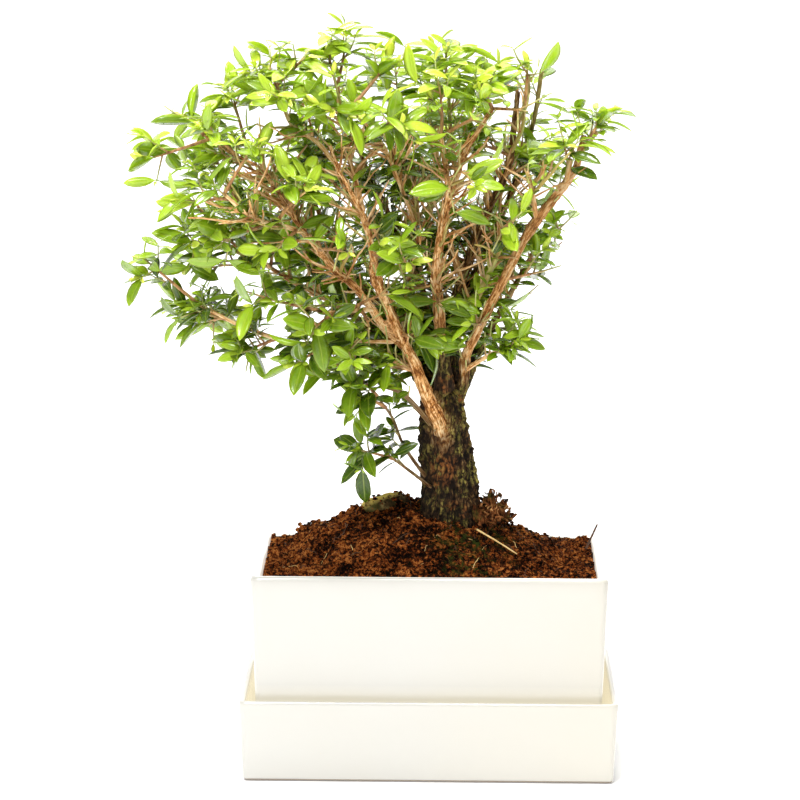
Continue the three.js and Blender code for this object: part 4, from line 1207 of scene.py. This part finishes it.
# The front is kept open as on the real tree, so that these limbs show between the leaves
shownLimbs = {
    "frontLimb": (100, 350), "frontUpper": (100, 350), "leftLimb": (100, 350), "centreLimb": (226, 350),
    "rightDark": (240, 350), "rightLimb": (190, 288), "deadSpur": (100, 350), "backSpur": (322, 350),
}


def spotsShown(steps=60):
    spots = []
    for limb in tree:
        low, high = shownLimbs.get(limb.name, (0, 0))
        for t in (i / steps for i in range(steps + 1)):
            if low < limb.at(t).z < high:
                spots.append((limb.at(t), limb.radius(t)))
    return spots


shownSpots = spotsShown()


# The crown's outline from the front, x and z in mm
crownOutline = [
    (-50, 374), (-27, 369), (-16, 358), (4, 367), (24, 355), (34, 360), (66, 356), (66, 342), (76, 331),
    (101, 325), (99, 308), (91, 299), (80, 289), (69, 268), (59, 250), (58, 240), (53, 217), (52, 186),
    (24, 176), (6, 120), (-44, 120), (-52, 176), (-74, 186), (-101, 198), (-126, 211), (-142, 216),
    (-156, 250), (-158, 304), (-134, 323), (-120, 336), (-106, 342), (-84, 359), (-60, 354),
]


def insideCrown(leaf):
    end = leaf["at"] + leaf["out"] * leaf["length"] * 0.75
    x, z = end.x, end.z + end.y * math.tan(view["elevation"])
    inside = False
    for (x0, z0), (x1, z1) in zip(crownOutline, crownOutline[1:] + crownOutline[:1]):
        if (z0 > z) != (z1 > z) and x < x0 + (x1 - x0) * (z - z0) / (z1 - z0):
            inside = not inside
    return inside


def showsLimbs(leaf):  # false for a leaf that hangs right before one of them
    middle = leaf["at"] + leaf["out"] * leaf["length"] * 0.5
    for spot, radius in shownSpots:
        beside = math.hypot(middle.x - spot.x, middle.z - spot.z) - radius
        if middle.y < spot.y and beside < foliage["clearOfLimb"]:
            return False
    return True


def slanted(axis, turn, lean):  # the way that leads off an axis at this turn round it
    side, across = squareTo(axis)
    return axis * math.cos(lean) + (side * math.cos(turn) + across * math.sin(turn)) * math.sin(lean)


def leafPair(at, axis, turn, lean, length, age=1.0):  # two opposite leaves, more level than the stem
    pair = []
    for angle in (turn, turn + math.pi):
        out = slanted(axis, angle, lean)
        below = foliage["hanging"] if at.z < foliage["lowest"] else foliage["levelBelow"]
        level = foliage["level"] if out.z > 0 else below
        out = Vector((out.x, out.y, out.z * level)).normalized()
        pair.append({"at": at, "axis": axis, "out": out, "length": length, "age": age})
    return pair


def growSpray(index, foot, tip):  # the solids' own rule and seeds, with two pairs of tiny tip leaves more
    draw = seeded(1000 + 77 * index, skip=3)
    run = tip - foot
    span = run.length
    bow = foot + run * 0.5
    bow.x += (draw() - 0.5) * 0.16 * span
    bow.y += (draw() - 0.5) * 0.16 * span
    bow.z += (draw() * 0.14 - 0.03) * span
    stem = Stem(foot, bow, tip)
    turn = draw() * math.pi
    crossed = turn + math.pi / 2
    young, old = foliage["young"], foliage["old"]
    leaves = leafPair(stem.at(0.985), stem.ahead(1), turn, 0.75, young + 3 * draw(), 0.15)
    leaves += leafPair(stem.at(0.86), stem.ahead(0.86), crossed, 1.05, old - 4 + 5 * draw(), 0.6)
    leaves += leafPair(stem.at(0.66), stem.ahead(0.66), turn, 1.15, old - 4 + 6 * draw(), 0.9)
    shootFoot = stem.at(0.74)
    shootAxis = slanted(stem.ahead(0.74), turn + math.pi / 4, 1.05)
    shootTip = shootFoot + shootAxis * (9 + 5 * draw())
    shoot = Stem(shootFoot, (shootFoot + shootTip) * 0.5, shootTip)
    leaves += leafPair(shoot.at(0.95), shootAxis, math.pi / 2, 0.95, old - 5 + 5 * draw(), 0.6)
    leaves += leafPair(shootTip, shootAxis, 0, 0.45, 4 + 3 * draw(), 0.0)
    leaves += leafPair(stem.at(0.995), stem.ahead(1), crossed, 0.35, 4 + 3 * draw(), 0.0)
    shoots, shootLeaves = growShoots(index, stem, turn)
    leaves = [leaf for leaf in leaves + shootLeaves if showsLimbs(leaf) and insideCrown(leaf)]
    return stem, [shoot] + shoots, leaves


def growShoots(index, stem, turn):
    draw = seeded(9000 + 131 * index, skip=3)
    shoots, leaves = [], []
    outside = (abs(stem.tip.x - backDome["x"]) > moreShoots["edgeWidth"]
               or stem.tip.z > moreShoots["edgeTop"] or stem.tip.y < moreShoots["edgeFront"])
    low = stem.tip.z < moreShoots["lowTip"]
    places = moreShoots["places"][index % 3::3] if outside else moreShoots["places"]
    places = moreShoots["lowPlaces"] if low else places
    lush = moreShoots["lush"] if low or outside else 1
    for k, t in enumerate(places):
        foot = stem.at(t)
        axis = slanted(stem.ahead(t), turn + k * goldenAngle + 0.5 * draw(), 0.75 + 0.35 * draw())
        axis = (axis + Vector((0, 0, foliage["upright"]))).normalized()
        reach = moreShoots["shortest"] + moreShoots["spread"] * draw()
        tip = foot + axis * reach
        bow = (foot + tip) * 0.5 + Vector(((draw() - 0.5) * 3, (draw() - 0.5) * 3, -1.5 + 2 * draw()))
        if not inBox([tip], 3):
            continue
        shoot = Stem(foot, bow, tip)
        shoots.append(shoot)
        spin, fresh = draw() * math.pi, draw()
        for pair, (place, lean, size) in enumerate(moreShoots["pairs"]):
            if pair == 3 and reach < moreShoots["fourPairsFrom"]:
                continue
            age = min(1, 0.15 + 0.3 * pair + 0.25 * draw()) * (1 - 0.35 * fresh)
            around = spin + pair * math.pi / 2 + 0.3 * draw()
            leaves += leafPair(shoot.at(place), shoot.ahead(place), around, lean + 0.25 * (draw() - 0.5),
                               lush * size * (0.64 + 0.5 * draw()), age)
    return shoots, leaves


leafStations = (0.0, 0.08, 0.2, 0.36, 0.54, 0.72, 0.88, 1.0)
leafRing = ((-1, 0), (-0.5, 1), (0, 1), (0.5, 1), (1, 0), (0, -1))
smallRing = ((-1, 0), (0, 1), (1, 0), (0, -1))  # for leaves shorter than foliage["small"]


def leafWidth(t):  # 0 to 1: a short stalk, widest past the middle, then a blunt point
    stalk = 0.08
    if t <= stalk:
        return 0.11
    s = (t - stalk) / (1 - stalk)
    return max(0.035, min(1, 2.95 * s ** 0.85 * (1 - s) ** 0.74 + 0.1 * (1 - s)))


def leafPoints(leaf, shape, ring):  # one closed thin lens: folded, arched, and a little wavy
    at, out, length = leaf["at"], leaf["out"], leaf["length"]
    across, face = shape["across"], shape["face"]
    half = length * shape["width"]
    points = []
    for t in leafStations:
        wide = half * leafWidth(t)
        middle = (at + out * (t * length) + across * (shape["sway"] * length * t * t)
                  - face * (shape["arch"] * length * t * t))
        thick = foliage["thickness"] * (0.5 if t > 0.05 else 1.2) * (1 - 0.5 * t)
        for side, skin in ring:
            ripple = shape["wave"] * math.sin(9 * t + shape["phase"] + 2 * side)
            lift = abs(side) * wide * (shape["fold"] + ripple)
            groove = -0.07 * wide if side == 0 else 0
            points.append(middle + across * (side * wide) + face * (lift + groove + skin * thick * 0.5))
    return points


def depthInCrown(place):  # 0 at the crown's outside, 1 in its heart, where the leaves get painted shade
    dome = backDome
    out = Vector(((place.x - dome["x"]) / dome["halfWidth"], (place.y - dome["y"]) / dome["halfDepth"],
                  (place.z - dome["z"]) / dome["halfHeight"]))
    return clamp((0.85 - out.length) / 0.5)


def newBuild():  # a leafy piece in the making
    return {name: [] for name in ("points", "faces", "skin", "along", "across", "age", "tint")}


def makeLeafy(name, build, skins, slot):
    marks = {mark: build[mark] for mark in ("along", "across", "age", "tint")}
    return makePiece(name, build["points"], build["faces"], skins, slot, marks, build["skin"])


def addLeaf(build, leaf, draw):  # returns how many leaves it added
    out = leaf["out"]
    face = out.cross(leaf["axis"].cross(out)).normalized() + Vector((0, 0, foliage["towardsLight"]))
    face = (face - out * face.dot(out)).normalized()
    across = face.cross(out)
    roll = (draw() - 0.5) * 1.1
    shape = {
        "across": across * math.cos(roll) + face * math.sin(roll),
        "face": face * math.cos(roll) - across * math.sin(roll),
        "width": foliage["widthToLength"] * (0.82 + 0.4 * draw()),
        "arch": foliage["arch"] * (0.4 + 1.3 * draw()),
        "fold": foliage["fold"] * (0.5 + draw()),
        "sway": (draw() - 0.5) * 0.22,
        "wave": 0.05 * draw(),
        "phase": draw() * wholeTurn,
    }
    tint = draw()
    outline = smallRing if leaf["length"] < foliage["small"] else leafRing
    points = leafPoints(leaf, shape, outline)
    while not inBox(points, 0.1):
        leaf["length"] *= 0.85
        if leaf["length"] < foliage["smallest"]:
            return 0
        points = leafPoints(leaf, shape, outline)
    ring, rows = len(outline), len(leafStations)
    sleeve(build["faces"], len(build["points"]), rows, ring)
    build["points"] += [p * mm for p in points]
    build["along"] += [t for t in leafStations for _ in outline]
    build["across"] += [side for side, _ in outline] * rows
    # painted shade: low leaves and those deep in the crown are darkened by adding to their age mark
    height = clamp((leaf["at"].z - foliage["shadeFoot"]) / foliage["shadeHeight"])
    shade = foliage["lowShade"] * (1 - 1.5 * height) + foliage["shade"] * depthInCrown(leaf["at"])
    build["age"] += [leaf["age"] + shade] * (ring * rows)
    build["tint"] += [tint] * (ring * rows)
    build["skin"] += [0] * ((rows - 1) * ring + 2)
    return 1


def addStem(build, stem, fromRadius, toRadius, age, step=2.6, sides=6):
    count = max(4, round((stem.tip - stem.foot).length / step))
    route = [stem.at(i / count) for i in range(count + 1)]
    radii = [fromRadius + (toRadius - fromRadius) * i / count for i in range(count + 1)]
    start, faceStart = len(build["points"]), len(build["faces"])
    strand(build["points"], build["faces"], route, radii, sides)
    added = len(build["points"]) - start
    build["along"] += [(i // sides) / count for i in range(added)]
    build["age"] += [age * (1 - 0.7 * ((i // sides) / count)) for i in range(added)]
    build["across"] += [0] * added
    build["tint"] += [0.5] * added
    build["skin"] += [1] * (len(build["faces"]) - faceStart)


def addShoot(build, shoot):
    addStem(build, shoot, foliage["shootFoot"], foliage["shootTip"], 0.5)


def leafSkin():
    sheet = Finish("serissaLeaf")
    age, tint, along, across = (sheet.mark(n) for n in ("age", "tint", "along", "across"))
    mottle = sheet.noise(170, 3)
    # the age mark holds painted shade for low and inner leaves as well as their age
    ripe = (age * 0.75 + tint * 0.44 - 0.1 + (mottle - 0.5) * 0.3).clamped()
    colour = sheet.ramp(ripe, [
        (0.0, (0.76, 0.85, 0.10)), (0.25, (0.47, 0.66, 0.042)), (0.55, (0.30, 0.47, 0.016)),
        (0.8, (0.15, 0.25, 0.008)), (1.0, (0.038, 0.075, 0.004)),
    ])
    rib = 1 - abs(across).between(0.02, 0.13)
    slant = (along * 58 - abs(across) * 9).sine()
    veins = slant.between(0.9, 1.0) * abs(across).between(0.05, 0.2) * (1 - abs(across).between(0.75, 1.0))
    colour = sheet.blend((rib * (0.3 - along * 0.2) + veins * 0.04).clamped(), colour, (0.66, 0.74, 0.12))
    rim = abs(across).between(0.86, 1.0)
    colour = sheet.blend(rim * 0.3, colour, (0.40, 0.46, 0.05))
    relief = sheet.bump(veins * -0.3 - rib * 0.8 + sheet.noise(500, 2) * 0.3, 0.4, 0.0005)
    rough = 0.14 + mottle * 0.2
    gloss = 0.15 + sheet.coordinate("Z").between(0.17, 0.26) * 0.4  # the low leaves are duller
    return sheet.finish(Base_Color=colour, Roughness=rough, Normal=relief, Subsurface_Weight=0.2,
                        Subsurface_Radius=(0.7, 1.0, 0.1), Subsurface_Scale=0.001, Specular_IOR_Level=0.35,
                        Coat_Weight=gloss, Coat_Roughness=0.16)


def stemSkin():
    sheet = Finish("youngStem")
    age = sheet.mark("age")
    grain = sheet.noise(420, 4, at=sheet.stretched((1, 1, 0.35)))
    woody = sheet.blend(grain.between(0.35, 0.65), (0.22, 0.085, 0.025), (0.60, 0.32, 0.12))
    green = sheet.blend(grain.between(0.35, 0.65), (0.30, 0.38, 0.08), (0.52, 0.50, 0.20))
    colour = sheet.blend(age.between(0.2, 0.5), green, woody)
    return sheet.finish(Base_Color=colour, Roughness=0.6, Normal=sheet.bump(grain, 0.4, 0.0004))


def makeSprays(skins):
    total = 0
    solidTips = sprayTips()
    for index, tip in enumerate(solidTips + [Vector(p) for p in fillTips]):
        stem, shoots, leaves = growSpray(index, limbSpot(tip), tip)
        build = newBuild()
        addStem(build, stem, foliage["footRadius"], foliage["tipRadius"], 1.0)
        for shoot in shoots:
            addShoot(build, shoot)
        draw = seeded(500 + index)
        total += sum(addLeaf(build, leaf, draw) for leaf in leaves)
        slot = "young_leaf" if index % 3 == 0 else "leaf"
        piece = makeLeafy(f"sprig_{index + 1:02d}", build, skins, slot)
        if index < len(solidTips):
            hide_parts(f"spray_{index + 1:02d}")
    print("sprays:", index + 1, "with", total, "leaves")


# Short leafy shoots that sit on the limbs themselves

tufts = {
    "spacing": 6.2, "onSuckers": 2.4, "outside": 1.7, "edgeWidth": 75, "edgeTop": 300,
    "from": 0.06, "shortest": 4, "longest": 15, "low": 186, "heartTop": 232, "heart": 1.25,
    "pairs": ((1.0, 0.4, 6), (0.9, 0.9, 13), (0.6, 1.15, 15)),
}


def growTuft(build, limb, t, turn, draw):
    foot = limb.at(t)
    lush = tufts["heart"] if foot.z < tufts["heartTop"] and limb.isStout() else 1
    axis = slanted(limb.aheadAt(t), turn + draw(), 0.9)
    axis = (axis + Vector((0, 0, foliage["upright"]))).normalized()
    tip = foot + axis * (limb.radius(t) + tufts["shortest"]
                         + (tufts["longest"] - tufts["shortest"]) * draw() ** 1.5)
    shoot = Stem(foot, (foot + tip) * 0.5 + Vector((0, 0, -1)), tip)
    addShoot(build, shoot)
    spin, added = draw() * math.pi, 0
    for pair, (place, lean, size) in enumerate(tufts["pairs"]):
        age = min(1, 0.4 + 0.3 * pair + 0.2 * draw())
        for leaf in leafPair(shoot.at(place), axis, spin + pair * math.pi / 2, lean,
                             lush * size * (0.6 + 0.48 * draw()), age):
            if showsLimbs(leaf) and insideCrown(leaf):
                added += addLeaf(build, leaf, draw)
    return added


def makeTufts(skins):
    total = 0
    for number, limb in enumerate(tree[1:]):
        if limb.name in kinds["noLeaves"]:
            continue
        draw = seeded(7000 + 91 * number, skip=3)
        end = limb.points[-1]
        outside = end.z > tufts["edgeTop"] or abs(end.x - backDome["x"]) > tufts["edgeWidth"]
        sparse = tufts["outside"] if outside else 1
        spacing = tufts["spacing"] * (tufts["onSuckers"] if limb.name in kinds["suckers"] else sparse)
        count = round(limb.length * (1 - tufts["from"]) / spacing)
        build = newBuild()
        for k in range(count):
            t = tufts["from"] + (1 - tufts["from"]) * (k + 0.9 * draw()) / count
            if limb.at(t).z >= tufts["low"] or not limb.isStout():
                total += growTuft(build, limb, t, k * goldenAngle, draw)
        if build["points"]:
            makeLeafy("leavesOn" + limb.name[0].upper() + limb.name[1:], build, skins, "leaf")
    print("tufts on the limbs:", total, "leaves")


# Room: a pale floor that curves up behind, and soft light; places and sizes in metres, power in watts

room = {
    "halfWidth": 14, "front": -9.0, "bend": 1.2, "top": 5.0, "drop": 0.0004, "bendSteps": 15,
    "floor": (0.95, 0.95, 0.95, 1), "glow": 0.28,
    "air": (1, 0.97, 0.86, 1), "airStrength": 0.18, "lookAt": Vector((-0.02, 0, 0.2)),
}
lamps = {
    "key": {"place": (-0.6, -1.7, 1.9), "size": 0.6, "power": 42},
    "fill": {"place": (1.1, -1.9, 0.7), "size": 1.2, "power": 6},
    "top": {"place": (-0.2, -0.1, 2.2), "size": 0.6, "power": 54},
    "backdrop": {"place": (0, 1.1, 1.8), "size": 2.0, "power": 16},
}


def makeFloor():
    skin = Finish("paleFloor").finish(Base_Color=room["floor"], Roughness=0.9, Specular_IOR_Level=0.0,
                                      Emission_Color=(1, 1, 1, 1), Emission_Strength=room["glow"])
    bend = room["bend"]
    profile = [(room["front"], 0.0)]
    for angle in turns(0, 90, room["bendSteps"]):
        profile.append((bend + bend * math.sin(angle), bend - bend * math.cos(angle)))
    profile.append((2 * bend, room["top"]))
    points, faces = [], []
    for y, z in profile:
        points += [(-room["halfWidth"], y, z - room["drop"]), (room["halfWidth"], y, z - room["drop"])]
    for i in range(len(profile) - 1):
        faces.append((2 * i, 2 * i + 1, 2 * i + 3, 2 * i + 2))
    floor = makePiece("floor", points, faces, [skin])
    floor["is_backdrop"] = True


def makeLight():
    world = bpy.data.worlds.new("soft")
    world.use_nodes = True
    background = world.node_tree.nodes["Background"]
    background.inputs["Color"].default_value = room["air"]
    background.inputs["Strength"].default_value = room["airStrength"]
    bpy.context.scene.world = world
    for name, lamp in lamps.items():
        light = bpy.data.lights.new(name, "AREA")
        light.energy = lamp["power"]
        light.size = lamp["size"]
        place = Vector(lamp["place"])
        holder = bpy.data.objects.new(name, light)
        holder.location = place
        holder.rotation_euler = (room["lookAt"] - place).to_track_quat("-Z", "Y").to_euler()
        bpy.context.scene.collection.objects.link(holder)
    bpy.context.scene.view_settings.view_transform = "Standard"


placeCamera()
makeFloor()
makeLight()
print("camera and room are up")
white = glazeSkin()
makeWare("saucerShell", "saucer", saucer, white)
makeWare("potShell", "pot", pot, white)
print("ware is thrown")
straw = stalkSkin("dryStraw", (1.0, 0.75, 0.33), (0.85, 0.53, 0.19))
darkWood = stalkSkin("darkStick", (0.14, 0.06, 0.025), (0.04, 0.018, 0.009))
soilFinish, soilDraw = soilSkin(), seeded(4211)
makeSoilBed(soilFinish)
makeCrumbs(soilFinish, soilDraw)
makeFibres("paleFibres", straw, soilDraw)
makeFibres("darkFibres", darkWood, soilDraw)
makeStalk("straw", straw)
makeStalk("stick", darkWood)
makeStone(stoneSkin())
print("soil is heaped")
barkFinish = barkSkin()
makeBole(barkFinish)
makeRootHeap(chipSkin())
print("bole and roots are up")
makeLimbs(barkFinish)
makeThinLimbs(barkFinish)
makeTwiglets(barkFinish)
leafyFinishes = [leafSkin(), stemSkin()]
makeSprays(leafyFinishes)
makeTufts(leafyFinishes)

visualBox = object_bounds()
boxes = {"cad": [list(map(float, corner)) for corner in cadBox],
         "visual": [list(map(float, corner)) for corner in visualBox]}
print("cad", boxes["cad"], "visual", boxes["visual"])
